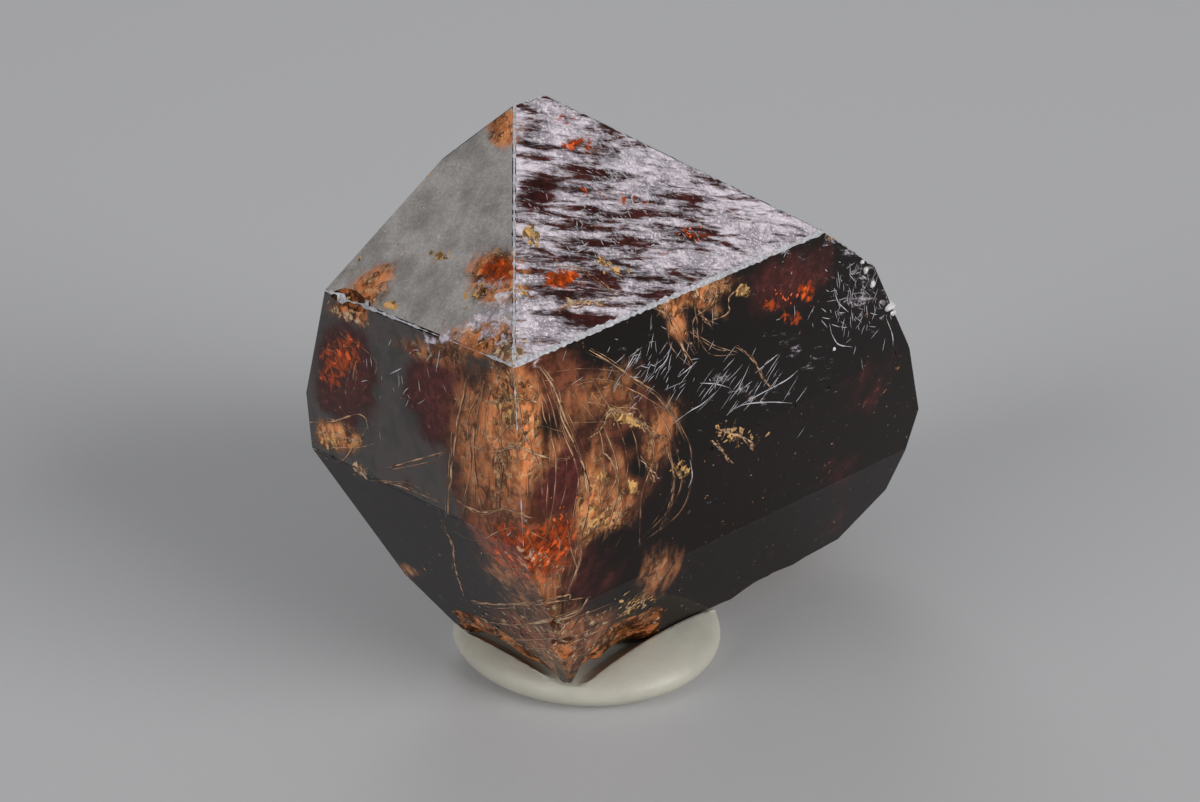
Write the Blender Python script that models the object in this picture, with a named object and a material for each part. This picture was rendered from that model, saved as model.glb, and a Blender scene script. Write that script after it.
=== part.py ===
"""A zircon crystal standing on a pressed lump of white putty.

The crystal grew as one piece: a short four-sided prism drawn out along X, with a low pyramid on top,
steep faces under it and a broken base. Each of its flat faces is one cut through a primitive cube.
The putty is a squashed ball with a flat underside and a hollow where the crystal is pressed in.
The meshes are worked out in millimetres, where cuts between small shapes stay exact, and every
object is scaled to metres. +Z is up along the crystal's main axis, and X runs along its longer side.
The origin is on the ground, under the middle of the whole object.
"""
import math
import random

import bmesh
import bpy
from mathutils import Matrix, Vector, noise

MM = 0.001                    # one millimetre in metres: the scale of every object

# Driving dimensions of the crystal, in millimetres
LENGTH = 16.0                 # along X, between the two end prism faces
WIDTH = 7.7                   # along Y, between the two long prism faces
CORNER_HEIGHT = 12.1          # height of the front corner, where pyramid and prism meet
BASE_DEPTH = 11.0             # from the front corner down to the broken base
EDGE_WEAR = 0.05              # width of the worn strip along every edge
FRONT_CORNER = Vector((-LENGTH / 2, -WIDTH / 2, CORNER_HEIGHT))

# Tilts of the face normals from the vertical axis, in degrees
PYRAMID = 42.16
PRISM = 90.0

# Every flat face: direction its normal points in plan, tilt from the vertical, and how far it lies
# from the front corner
CRYSTAL_FACES = {
    "upper_front_left": (180.0, PYRAMID, 0.0),
    "upper_front_right": (270.0, PYRAMID, 0.0),
    "prism_front_left": (180.0, PRISM, 0.0),
    "prism_front_right": (270.0, PRISM, 0.0),
    "upper_back_left": (90.0, 47.0, 5.81),
    "steep_back_left": (90.0, 68.5, 6.06),
    "prism_back_left": (90.0, PRISM, WIDTH),
    "upper_back_right": (0.0, 36.5, 6.28),
    "steep_back_right": (0.0, 59.0, 10.06),
    "prism_back_right": (0.0, PRISM, LENGTH),
    "lower_front_left": (180.0, 118.0, 2.13),
    "lower_front_right": (270.0, 105.0, 1.145),
    "low_front_right": (269.3, 112.5, 2.07),
    "lower_back_right": (0.0, 142.0, 17.8),
    "lower_back_left": (90.0, 123.0, 11.54),
    "base": (180.0, 178.0, BASE_DEPTH),
}

# Broken places: direction and tilt of the break, a point on it measured from the front corner,
# the size of the patch, its relief and the height of its ledges
BREAKS = {
    "front_foot": (228.0, 124.0, (1.10, 0.55, -6.70), (6.5, 6.5), 0.20, 0.22),
    "left_rim": (183.0, 127.0, (2.75, 4.70, -9.75), (7.0, 3.6), 0.13, 0.18),
    "right_rim": (268.0, 124.0, (4.90, 1.75, -9.60), (5.0, 3.6), 0.14, 0.18),
    "under_base": (180.0, 178.0, (8.00, 3.80, -11.05), (9.0, 17.0), 0.18, 0.20),
}
BREAK_FADE = 2.2              # how far a break drops away towards the two ends of its patch
BREAK_CUTS = 24               # grid lines across each break
BREAK_JITTER = 0.34           # how far a point of a break strays, in grid steps
BREAK_BLOCK = 4.0             # thickness of the block that takes a break away
RIPPLE_LENGTH = 0.75          # from one shell-like ripple of a break to the next
RIPPLE_CENTRE = (0.8, -2.6)
LEDGE_SPACING = 1.1
LEDGE_SHARPNESS = 24.0

# Small damage: nicks along the sharp edges, and two larger chips placed from the front corner
BROKEN_FOOT_HEIGHT = 3.1      # edges that reach lower than this have no nicks
NICK_SPACING = 1.5
NICK_SIZE = (0.09, 0.24)      # smallest and largest radius of a nick
NICK_STRETCH = 1.9            # the longest nick is this much longer than wide
NICK_LIFT = 0.72              # how far out of the edge a nick's middle lies, in radii
NICK_MIN_EDGE = 1.2
NICK_MIN_TURN = math.radians(12.0)
RIDGE_CHIP_RADII = Vector((0.34, 0.74, 0.27))
RIDGE_CHIP_PLACE = Vector((-0.08, 5.55, 0.04))
TIP_CHIP_RADII = Vector((0.34, 0.30, 0.22))
TIP_CHIP_PLACE = Vector((4.75, 4.30, 4.06))

# Driving dimensions of the putty, in millimetres
PUTTY_MIDDLE = Vector((-1.61, 0.93, 0.66))
PUTTY_RADII = Vector((3.47, 3.96, 1.06))
PUTTY_BACK = 3.80             # the ball is pressed flat behind, and reaches no further than this along Y
PUTTY_BACK_SOFTNESS = 0.90    # depth over which it bends into that flat side
PUTTY_SWELL = 0.03            # unevenness of the hand-rolled ball
PRESS_GAP = 0.3               # clearance between crystal and putty

ROUGH_BLOCK = 60.0            # the cube that the crystal is cut from
MERGE = 0.001

random_source = random.Random(11)


def clear_scene():
    for item in list(bpy.data.objects):
        bpy.data.objects.remove(item, do_unlink=True)


def new_collection(name):
    collection = bpy.data.collections.new(name)
    bpy.context.scene.collection.children.link(collection)
    return collection


def face_normal(azimuth, tilt):
    """Unit normal from its direction in plan and its tilt from +Z, both in degrees."""
    plan, lean = math.radians(azimuth), math.radians(tilt)
    return Vector((math.cos(plan) * math.sin(lean), math.sin(plan) * math.sin(lean), math.cos(lean)))


def finish(name, shape, collection, material=None):
    """Puts a bmesh into a new object and frees it."""
    bmesh.ops.recalc_face_normals(shape, faces=shape.faces)
    mesh = bpy.data.meshes.new(name)
    shape.to_mesh(mesh)
    shape.free()
    piece = bpy.data.objects.new(name, mesh)
    piece.scale = (MM, MM, MM)
    collection.objects.link(piece)
    if material:
        mesh.materials.append(material)
    return piece


def principled(name, colour, roughness, transmission=0.0, ior=1.45):
    material = bpy.data.materials.new(name)
    material.use_nodes = True
    shader = material.node_tree.nodes["Principled BSDF"]
    shader.inputs["Base Color"].default_value = (*colour, 1.0)
    shader.inputs["Roughness"].default_value = roughness
    shader.inputs["Metallic"].default_value = 0.0
    shader.inputs["Transmission Weight"].default_value = transmission
    shader.inputs["IOR"].default_value = ior
    return material


def flat_faced_solid(grow=0.0):
    """A cube cut once by the plane of every crystal face, each moved outwards by grow."""
    shape = bmesh.new()
    bmesh.ops.create_cube(shape, size=ROUGH_BLOCK, matrix=Matrix.Translation(FRONT_CORNER))
    for azimuth, tilt, distance in CRYSTAL_FACES.values():
        normal = face_normal(azimuth, tilt)
        everything = shape.verts[:] + shape.edges[:] + shape.faces[:]
        bmesh.ops.bisect_plane(
            shape, geom=everything, dist=MERGE * 0.1, clear_outer=True,
            plane_co=FRONT_CORNER + normal * (distance + grow), plane_no=normal,
        )
        rim = [edge for edge in shape.edges if edge.is_boundary]
        if rim:
            bmesh.ops.contextual_create(shape, geom=rim)
    bmesh.ops.remove_doubles(shape, verts=shape.verts, dist=MERGE)
    return shape


def cut(piece, cutter):
    """Takes the cutter out of the piece with a live Boolean."""
    cutter.display_type = "WIRE"
    cutter.hide_render = True
    boolean = piece.modifiers.new("cut " + cutter.name, "BOOLEAN")
    boolean.operation = "DIFFERENCE"
    boolean.solver = "EXACT"
    boolean.object = cutter


def break_height(x, y, relief, ledge, seed):
    """Relief of a broken surface: soft hollows, shell-like ripples about one point, and wandering
    ledges, where the surface tilts gently and then drops in one narrow step."""
    place = Vector((x, y, seed * 7.3))
    hollow = noise.fractal(place * 0.42, 0.9, 2.1, 4)
    away = math.hypot(x - RIPPLE_CENTRE[0], y - RIPPLE_CENTRE[1])
    ripple = math.sin(away / RIPPLE_LENGTH * 2 * math.pi + 2.0 * hollow) * 0.22
    turn = math.pi * (0.18 + 0.31 * seed)
    across = (x * math.cos(turn) + y * math.sin(turn)) / LEDGE_SPACING
    across += 0.9 * noise.noise(place * 0.5 + Vector((3.1, 9.2, 0.0)))
    rise = across - math.floor(across)
    step = rise - 1.0 / (1.0 + math.exp(-(rise - 0.8) * LEDGE_SHARPNESS))
    return relief * (hollow * 1.1 + ripple) + ledge * step


def break_cutter(name, values, seed, collection):
    """A block whose one rough side is the break, turned so that this side faces into the crystal."""
    azimuth, tilt, place, size, relief, ledge = values
    width, height = size
    shape = bmesh.new()
    bmesh.ops.create_cube(shape, size=1.0)
    bmesh.ops.scale(shape, vec=(width, height, BREAK_BLOCK), verts=shape.verts)
    bmesh.ops.translate(shape, vec=(0, 0, -BREAK_BLOCK / 2), verts=shape.verts)
    top = [edge for edge in shape.edges if all(vert.co.z > -MERGE for vert in edge.verts)]
    bmesh.ops.subdivide_edges(shape, edges=top, cuts=BREAK_CUTS, use_grid_fill=True)
    shape.normal_update()
    rough = [face for face in shape.faces if face.normal.z > 0.5]
    strays = (width / BREAK_CUTS * BREAK_JITTER, height / BREAK_CUTS * BREAK_JITTER)
    draw = random.Random(seed)
    for vert in shape.verts:
        if vert.co.z < -MERGE:
            continue
        if all(face.normal.z > 0.5 for face in vert.link_faces):
            vert.co.x += draw.uniform(-1, 1) * strays[0]
            vert.co.y += draw.uniform(-1, 1) * strays[1]
        vert.co.z += break_height(vert.co.x, vert.co.y, relief, ledge, seed)
        vert.co.z -= BREAK_FADE * (2 * vert.co.x / width) ** 4
    bmesh.ops.triangulate(shape, faces=rough)
    inwards = -face_normal(azimuth, tilt)
    side = Vector((0, 0, 1)).cross(inwards).normalized()
    turn = Matrix((side, inwards.cross(side), inwards)).transposed().to_4x4()
    bmesh.ops.transform(shape, matrix=turn, verts=shape.verts)
    bmesh.ops.translate(shape, vec=FRONT_CORNER + Vector(place), verts=shape.verts)
    return finish(name, shape, collection)


def nick_cutter(edge, name, collection):
    """Small faceted pebbles spaced along one edge, each reaching just under the worn strip."""
    pebbles = bmesh.new()
    start, end = (vert.co for vert in edge.verts)
    along = (end - start).normalized()
    outwards = (edge.link_faces[0].normal + edge.link_faces[1].normal).normalized()
    count = round(edge.calc_length() / NICK_SPACING)
    for step in range(count):
        size = random_source.uniform(*NICK_SIZE)
        place = start.lerp(end, (step + random_source.uniform(0.35, 0.65)) / count)
        turn = Matrix.Rotation(random_source.uniform(0, 2 * math.pi), 4, along)
        stretch = Matrix.Scale(random_source.uniform(1.0, NICK_STRETCH), 4, along)
        matrix = Matrix.Translation(place + outwards * size * NICK_LIFT) @ stretch @ turn
        bmesh.ops.create_icosphere(pebbles, subdivisions=1, radius=size, matrix=matrix)
    return finish(name, pebbles, collection)


def nick_cutters(shape, collection):
    """One cutter of loose pebbles for each sharp edge above the broken foot."""
    cutters = []
    for edge in shape.edges:
        long_enough = edge.calc_length() > NICK_MIN_EDGE
        above_foot = min(vert.co.z for vert in edge.verts) > BROKEN_FOOT_HEIGHT
        if long_enough and above_foot and edge.calc_face_angle(0.0) > NICK_MIN_TURN:
            cutters.append(nick_cutter(edge, "nicks_%02d" % len(cutters), collection))
    return cutters


def chip_cutter(name, radii, place, collection):
    """A rough pebble that takes one larger chip off an edge."""
    shape = bmesh.new()
    bmesh.ops.create_icosphere(shape, subdivisions=2, radius=1.0)
    for vert in shape.verts:
        vert.co *= 1.0 + 0.28 * noise.noise(vert.co * 1.9)
    bmesh.ops.scale(shape, vec=radii, verts=shape.verts)
    bmesh.ops.translate(shape, vec=FRONT_CORNER + place, verts=shape.verts)
    return finish(name, shape, collection)


def make_crystal(collection, cutters):
    material = principled("zircon", (0.20, 0.045, 0.022), 0.08, transmission=0.85, ior=1.95)
    shape = flat_faced_solid()
    nicks = nick_cutters(shape, cutters)
    sharp = [edge for edge in shape.edges if edge.calc_face_angle(0.0) > math.radians(2.0)]
    bmesh.ops.bevel(shape, geom=sharp, offset=EDGE_WEAR, segments=1, affect="EDGES", clamp_overlap=True)
    crystal = finish("zircon_crystal", shape, collection, material)
    for seed, (name, values) in enumerate(BREAKS.items()):
        cut(crystal, break_cutter(name, values, seed, cutters))
    cut(crystal, chip_cutter("ridge_chip", RIDGE_CHIP_RADII, RIDGE_CHIP_PLACE, cutters))
    cut(crystal, chip_cutter("tip_chip", TIP_CHIP_RADII, TIP_CHIP_PLACE, cutters))
    for nick in nicks:
        cut(crystal, nick)
    return crystal


def make_putty(collection, cutters):
    """A squashed ball, flatter behind, cut flat at the ground and pressed in by the crystal."""
    material = principled("white_putty", (0.83, 0.80, 0.71), 0.42)
    shape = bmesh.new()
    bmesh.ops.create_uvsphere(shape, u_segments=48, v_segments=24, radius=1.0)
    for vert in shape.verts:
        vert.co *= 1.0 + PUTTY_SWELL * noise.noise(vert.co * 1.7 + Vector((5.0, 1.0, 2.0)))
    bmesh.ops.scale(shape, vec=PUTTY_RADII, verts=shape.verts)
    bmesh.ops.translate(shape, vec=PUTTY_MIDDLE, verts=shape.verts)
    bend = PUTTY_BACK - PUTTY_BACK_SOFTNESS
    for vert in shape.verts:
        if vert.co.y > bend:
            vert.co.y = bend + PUTTY_BACK_SOFTNESS * math.tanh((vert.co.y - bend) / PUTTY_BACK_SOFTNESS)
    bmesh.ops.bisect_plane(
        shape, geom=shape.verts[:] + shape.edges[:] + shape.faces[:], dist=MERGE * 0.1,
        clear_inner=True, plane_co=(0, 0, 0), plane_no=(0, 0, 1),
    )
    rim = [edge for edge in shape.edges if edge.is_boundary]
    bmesh.ops.contextual_create(shape, geom=rim)
    bmesh.ops.remove_doubles(shape, verts=shape.verts, dist=MERGE)
    putty = finish("white_putty", shape, collection, material)
    press = finish("crystal_press", flat_faced_solid(PRESS_GAP), cutters)
    cut(putty, press)
    return putty


def main():
    clear_scene()
    collection = new_collection("zircon crystal on putty")
    cutters = new_collection("cutters")
    make_crystal(collection, cutters)
    make_putty(collection, cutters)


main()
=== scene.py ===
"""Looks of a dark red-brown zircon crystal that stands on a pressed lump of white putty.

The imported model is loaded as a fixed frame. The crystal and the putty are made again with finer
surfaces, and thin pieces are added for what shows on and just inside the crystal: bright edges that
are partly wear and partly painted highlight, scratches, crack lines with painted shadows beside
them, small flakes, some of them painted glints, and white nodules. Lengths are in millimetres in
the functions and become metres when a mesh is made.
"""
import math

import bmesh
import bpy
import numpy as np
from bpy.props import FloatProperty, FloatVectorProperty, IntProperty, PointerProperty
from mathutils import Euler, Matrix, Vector
from mathutils.bvhtree import BVHTree


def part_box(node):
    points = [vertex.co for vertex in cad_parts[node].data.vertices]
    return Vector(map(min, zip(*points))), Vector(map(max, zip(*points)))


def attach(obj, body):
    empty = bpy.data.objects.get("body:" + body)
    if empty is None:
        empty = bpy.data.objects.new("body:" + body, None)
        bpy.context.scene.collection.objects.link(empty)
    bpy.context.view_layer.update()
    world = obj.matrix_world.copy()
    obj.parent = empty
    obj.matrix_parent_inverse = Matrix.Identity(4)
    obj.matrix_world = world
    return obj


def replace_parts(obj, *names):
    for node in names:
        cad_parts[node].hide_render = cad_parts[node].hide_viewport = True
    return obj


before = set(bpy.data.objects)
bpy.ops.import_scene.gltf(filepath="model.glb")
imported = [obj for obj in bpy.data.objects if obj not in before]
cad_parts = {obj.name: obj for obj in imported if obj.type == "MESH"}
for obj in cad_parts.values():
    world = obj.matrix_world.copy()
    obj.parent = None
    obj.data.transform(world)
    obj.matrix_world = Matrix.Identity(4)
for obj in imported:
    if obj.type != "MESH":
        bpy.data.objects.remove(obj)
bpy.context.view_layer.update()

bl_info = {
    "name": "Zircon crystal on putty",
    "version": (1, 0, 0),
    "blender": (4, 5, 0),
    "location": "View3D > Sidebar > Zircon",
    "description": "Builds the finish of a natural zircon crystal and the putty that holds it",
    "category": "Object",
}

MM = 0.001

# The camera that the photograph was taken with, and its picture size in pixels
PHOTO_SIZE = (1200, 802)
FOCAL_PIXELS = 1882.0
SENSOR_WIDTH = 36.0
CAMERA_PLACE = (-32.18, -30.89, 28.67)
CAMERA_TURN = (64.269, 1.665, -45.453)

# The crystal's flat faces, as in the solid: direction of the normal in plan, its tilt from the
# vertical, and the distance from the front corner
LENGTH = 16.0
WIDTH = 7.7
CORNER_HEIGHT = 12.1
BASE_DEPTH = 11.0
PYRAMID = 42.16
PRISM = 90.0
FRONT_CORNER = np.array((-LENGTH / 2, -WIDTH / 2, CORNER_HEIGHT))
FACES = {
    "upper_left": (180.0, PYRAMID, 0.0),
    "upper_right": (270.0, PYRAMID, 0.0),
    "prism_left": (180.0, PRISM, 0.0),
    "prism_right": (270.0, PRISM, 0.0),
    "upper_back_left": (90.0, 47.0, 5.81),
    "steep_back_left": (90.0, 68.5, 6.06),
    "prism_back_left": (90.0, PRISM, WIDTH),
    "upper_back_right": (0.0, 36.5, 6.28),
    "steep_back_right": (0.0, 59.0, 10.06),
    "prism_back_right": (0.0, PRISM, LENGTH),
    "lower_left": (180.0, 118.0, 2.13),
    "lower_right": (270.0, 105.0, 1.145),
    "low_right": (269.3, 112.5, 2.07),
    "lower_back_right": (0.0, 142.0, 17.8),
    "lower_back_left": (90.0, 123.0, 11.54),
    "base": (180.0, 178.0, BASE_DEPTH),
}
FACE_NAMES = list(FACES)
ON_FACE = 0.03                # a point this close to a face's plane lies on it
SAME_DIRECTION = 0.9995       # the cosine from which two normals count as the same
STILL_ON = 0.001              # a point this far outside still counts as on the crystal
MOVES_BACK = 40               # how often a point beside the crystal is moved back towards it
STREAK_TURN = (0.0, 15.9, -18.3)   # turn of the long brush marks on the right upper face
CELL = 0.2                    # size of the cells that the finer crystal surface is divided into
BREAK_DEPTH = 0.09            # a place at least this far from all but one plane is broken, not worn
SPOT_STRETCH = 1.35           # the edge of a patch, in half-sizes
SPOT_FALL = 1.2               # how steeply a patch fades towards its edge
SPOT_DEPTH = 3.5              # how far a patch reaches towards the camera and away from it
CLEARING = 0.8                # how much of the other marks a clear patch takes away
MARK_RANGE = (-1.0, 1.2)      # the least and the most that a mark can be
STRIP_STEP = 0.05             # distance between the points along a worn edge
CRACK_STEPS = 44              # points along a crack line
CRACK_STRANDS = 3             # lines that each crack is drawn with
STRAND_STRAY = 1.6            # how far the strands of a crack stray, in pixels
FAN_STRAY = 5.0               # how far the lines of a fan stray, in pixels
LONG_SCRATCH_STEPS = 24       # points along a long scratch
STROKE_PAST = 0.02            # how far a short scratch may run past the edge of its face
FLAKE_SIDES = 6
FLAKE_TIP = 0.22              # how far flakes tip out of the face, about as an angle in radians
FLAKE_RISE = 0.015            # how far the middle of a flake stands above its corners
FLAKE_LIFT = 0.02             # how far the highest corner of a flake stands off the surface
NODULE_SINK = 0.55            # how deep a nodule's middle lies under the face, in radii

# How much of each look a whole face carries: grey film, partly a painted reflection; silver haze,
# partly a painted sheen; wine red, a painted deep red glow; dark smoke, deepest on the downward
# faces as painted shade
FACE_FILMS = {
    "upper_left": (0.88, 0.0, 0.0, 0.0),
    "upper_right": (0.06, 0.94, 0.62, 0.5),
    "prism_left": (0.32, 0.0, 0.34, 0.4),
    "prism_right": (0.02, 0.0, 0.05, 0.6),
    "lower_left": (0.02, 0.0, 0.05, 0.96),
    "lower_right": (0.02, 0.0, 0.10, 0.85),
    "low_right": (0.02, 0.0, 0.10, 0.85),
    "upper_back_left": (0.35, 0.62, 0.35, 0.5),
    "upper_back_right": (0.30, 0.66, 0.35, 0.5),
    "steep_back_left": (0.12, 0.35, 0.25, 0.6),
    "steep_back_right": (0.12, 0.42, 0.25, 0.6),
}
OTHER_FACE_FILM = (0.04, 0.04, 0.15, 0.7)

# Patches of the surface, each placed by the photograph's pixel that it is centred on, with its two
# half-sizes and its turn on the picture in degrees, and its strength. They sit on the crystal.
PATCHES = {
    # Silver haze: partly a frosted film, partly painted sheen of the light
    "haze": {
        "tip_sheen": (795, 226, 50, 14, 20, 0.6),
        "ridge_bloom_left": (494, 306, 24, 50, 0, 0.95),
        "base_band_left": (440, 338, 50, 9, -20, 0.9),
        "left_cloud": (430, 235, 60, 50, 40, 0.25),
        "top_bloom": (556, 116, 26, 12, 20, 0.4),
        "rim_bloom": (650, 160, 60, 16, -28, 0.35),
        "bright_patch": (632, 158, 14, 8, -40, 0.5),
        "pale_blotch": (566, 205, 20, 16, 30, 0.35),
        "low_bloom": (533, 335, 24, 32, 0, 0.7),
        "ridge_bloom": (700, 262, 80, 14, 26, 0.3),
        "right_end_haze": (866, 290, 36, 50, -40, 0.56),
        "right_middle_haze": (800, 350, 60, 16, 25, 0.5),
        "tip_bloom": (760, 240, 60, 16, 24, 0.45),
        "streak_haze": (745, 392, 60, 10, 28, 0.5),
    },
    "clear": {
        "dark_blue_spot": (540, 192, 19, 14, 0, 0.9),
        "dark_upper_band": (590, 172, 46, 10, -12, 0.6),
        "dark_middle_band": (625, 214, 66, 12, -8, 0.5),
        "dark_low_band": (610, 246, 66, 10, -5, 0.55),
        "dark_foot_patch": (590, 322, 46, 10, 24, 0.5),
        "dark_glow_edge": (640, 290, 55, 10, 14, 0.5),
        "dark_far_band": (700, 232, 50, 10, -5, 0.4),
        "black_window": (610, 570, 27, 42, 0, 1.0),
        "black_gap": (640, 466, 11, 12, 0, 0.6),
        "amber_gap": (567, 470, 11, 22, 15, 0.5),
        "red_lens": (548, 500, 22, 36, 10, 0.5),
        "brown_gap": (548, 425, 14, 24, 20, 0.4),
        "left_gap": (484, 470, 10, 34, 0, 0.35),
        "lens_gap": (630, 440, 14, 14, 0, 0.5),
        "black_right_field": (720, 345, 90, 28, -24, 0.5),
    },
    "amber": {
        # Amber patches: the amber of the cracks, lit up as a painted glow of light through the crystal
        "front_edge_glow": (512, 418, 24, 60, 0, 1.1),
        "front_left_glow": (478, 430, 30, 66, 0, 0.62),
        "front_middle_glow": (540, 440, 36, 56, -8, 0.50),
        "lens_upper": (606, 392, 52, 30, -25, 0.42),
        "lens_lower": (622, 470, 34, 56, 10, 0.40),
        "lens_rim": (664, 430, 16, 46, 20, 0.55),
        "lens_left_band": (588, 490, 10, 50, 5, 0.6),
        "front_low_glow": (506, 500, 46, 50, 0, 0.45),
        "foot_glow": (520, 580, 66, 34, 0, 0.5),
        "foot_right": (600, 520, 34, 30, 0, 0.7),
        "foot_far_right": (655, 575, 34, 34, 0, 0.5),
        "foot_low_glow": (550, 632, 105, 34, 0, 0.42),
        "foot_tip_glow": (575, 668, 115, 26, 0, 0.40),
        "apex_glow": (505, 128, 20, 22, 0, 1.0),
        "ridge_glow_left": (494, 276, 28, 30, 0, 1.05),
        "ridge_foot_left": (488, 338, 50, 20, 0, 0.9),
        "ridge_foot_right": (524, 300, 12, 40, 0, 0.45),
        "left_rim_flakes": (368, 290, 40, 20, -38, 0.85),
        "left_low_band": (425, 352, 44, 12, 18, 0.6),
        "wedge_bar": (702, 293, 48, 10, -24, 0.95),
        "wedge_leg": (676, 322, 11, 28, -22, 0.95),
        "wedge_fan": (716, 312, 26, 9, 35, 0.6),
        "left_lamp": (338, 436, 28, 14, 10, 1.25),
        "chip_lip": (348, 314, 26, 7, 20, 0.8),
        "low_left_spots": (408, 570, 12, 10, 0, 0.6),
    },
    "brown": {
        # Brown patches paint the red-brown glow of light behind the front edge
        "front_window": (498, 462, 64, 108, 0, 1.0),
        "fire_window": (528, 560, 66, 54, 0, 0.9),
        "lens_window": (622, 448, 62, 84, 10, 0.62),
        "lens_foot_window": (610, 560, 40, 60, 0, 0.4),
        "broken_window": (545, 640, 120, 40, 0, 0.7),
        "corner_window": (560, 380, 50, 34, 20, 0.7),
    },
    "red": {
        # Red patches paint the red glints and glows of the crystal's fire
        "foot_fire": (524, 556, 52, 36, 0, 0.82),
        "foot_fire_right": (560, 530, 16, 26, 0, 0.6),
        "ridge_fire": (562, 279, 22, 10, 0, 1.0),
        "ridge_fire_left": (500, 270, 20, 15, 0, 0.85),
        "upper_glint_1": (566, 118, 9, 5, 0, 0.8),
        "upper_glint_2": (574, 143, 16, 6, -25, 0.9),
        "upper_glint_3": (594, 152, 9, 4, 25, 0.8),
        "upper_glint_4": (583, 190, 8, 4, 30, 0.8),
        "upper_glint_5": (592, 225, 12, 5, 10, 0.7),
        "upper_band": (640, 205, 45, 8, 12, 0.5),
        "middle_glint": (690, 234, 22, 7, 8, 1.0),
        "middle_glint_low": (668, 253, 20, 5, 0, 0.55),
        "prism_fire_1": (770, 304, 12, 6, 10, 1.0),
        "prism_fire_2": (806, 292, 10, 10, 0, 0.95),
        "prism_fire_3": (790, 318, 16, 7, 0, 0.7),
        "left_fire": (348, 353, 15, 18, 0, 1.0),
        "left_fire_low": (332, 370, 16, 26, 0, 0.6),
        "left_dot": (411, 353, 4, 4, 0, 1.0),
    },
    "wine": {
        # Wine patches paint a deep red glow of light inside the crystal
        "prism_dusk": (790, 280, 75, 30, -24, 0.7),
        "right_dusk": (872, 385, 38, 34, 0, 0.42),
        "band_dusk": (836, 470, 34, 26, 0, 0.34),
        "low_dusk": (836, 518, 26, 20, 0, 0.3),
        "foot_window": (622, 640, 26, 26, 0, 0.6),
        "left_dusk": (440, 395, 38, 44, 0, 0.8),
        "left_edge_dusk": (345, 375, 34, 50, 0, 0.6),
        "purple_window": (567, 470, 22, 40, 15, 1.0),
        "red_lens": (545, 500, 34, 46, 10, 1.0),
        "centre_dusk": (558, 384, 40, 32, 0, 0.9),
        "lens_dusk": (630, 400, 46, 30, 25, 0.5),
        "foot_dusk": (590, 570, 40, 46, 0, 0.5),
    },
    "gold": {
        "ridge_gold_1": (531, 234, 9, 11, -20, 0.9),
        "ridge_gold_2": (512, 252, 8, 9, 0, 0.6),
        "ridge_gold_3": (524, 296, 8, 10, 0, 0.5),
        "face_gold": (607, 266, 18, 5, 38, 0.9),
        "left_gold_1": (426, 172, 9, 4, 0, 0.8),
        "left_gold_2": (440, 255, 14, 6, 10, 0.7),
        "left_gold_3": (395, 305, 18, 6, 10, 0.7),
        "left_gold_4": (475, 294, 12, 5, 0, 0.8),
        "left_gold_5": (358, 262, 8, 5, -40, 0.8),
        "wedge_gold": (742, 290, 8, 7, 0, 1.0),
        "wedge_gold_low": (690, 352, 5, 8, 0, 0.7),
        "cluster_right": (735, 434, 26, 14, 20, 0.42),
        "lens_streak": (626, 418, 26, 7, 26, 0.95),
        "lens_curl": (604, 474, 10, 10, 0, 0.6),
        "lens_leaf": (634, 486, 6, 12, -20, 0.9),
        "lens_end": (682, 470, 11, 12, 0, 0.6),
        "lens_base": (600, 517, 20, 18, 0, 0.55),
        "foot_cluster": (636, 604, 24, 10, -20, 0.45),
        "lamp_gold": (330, 440, 16, 7, 0, 0.8),
        "edge_gold": (508, 405, 12, 34, 0, 0.55),
    },
    "cream": {
        # Cream patches are chips and broken places; the foot sparkle is a painted sparkle of light
        "ridge_chips": (583, 303, 26, 5, -10, 0.9),
        "left_speck": (360, 470, 9, 9, 0, 0.9),
        "lip": (350, 318, 26, 5, 22, 0.8),
        "corner_bloom": (512, 352, 20, 16, 0, 0.7),
        "foot_sparkle": (524, 560, 24, 18, 0, 0.35),
        "foot_flakes": (560, 630, 95, 16, 4, 0.35),
        "foot_flakes_low": (560, 655, 50, 16, 0, 0.35),
        "right_chip": (833, 234, 8, 5, 0, 0.8),
    },
}

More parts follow.
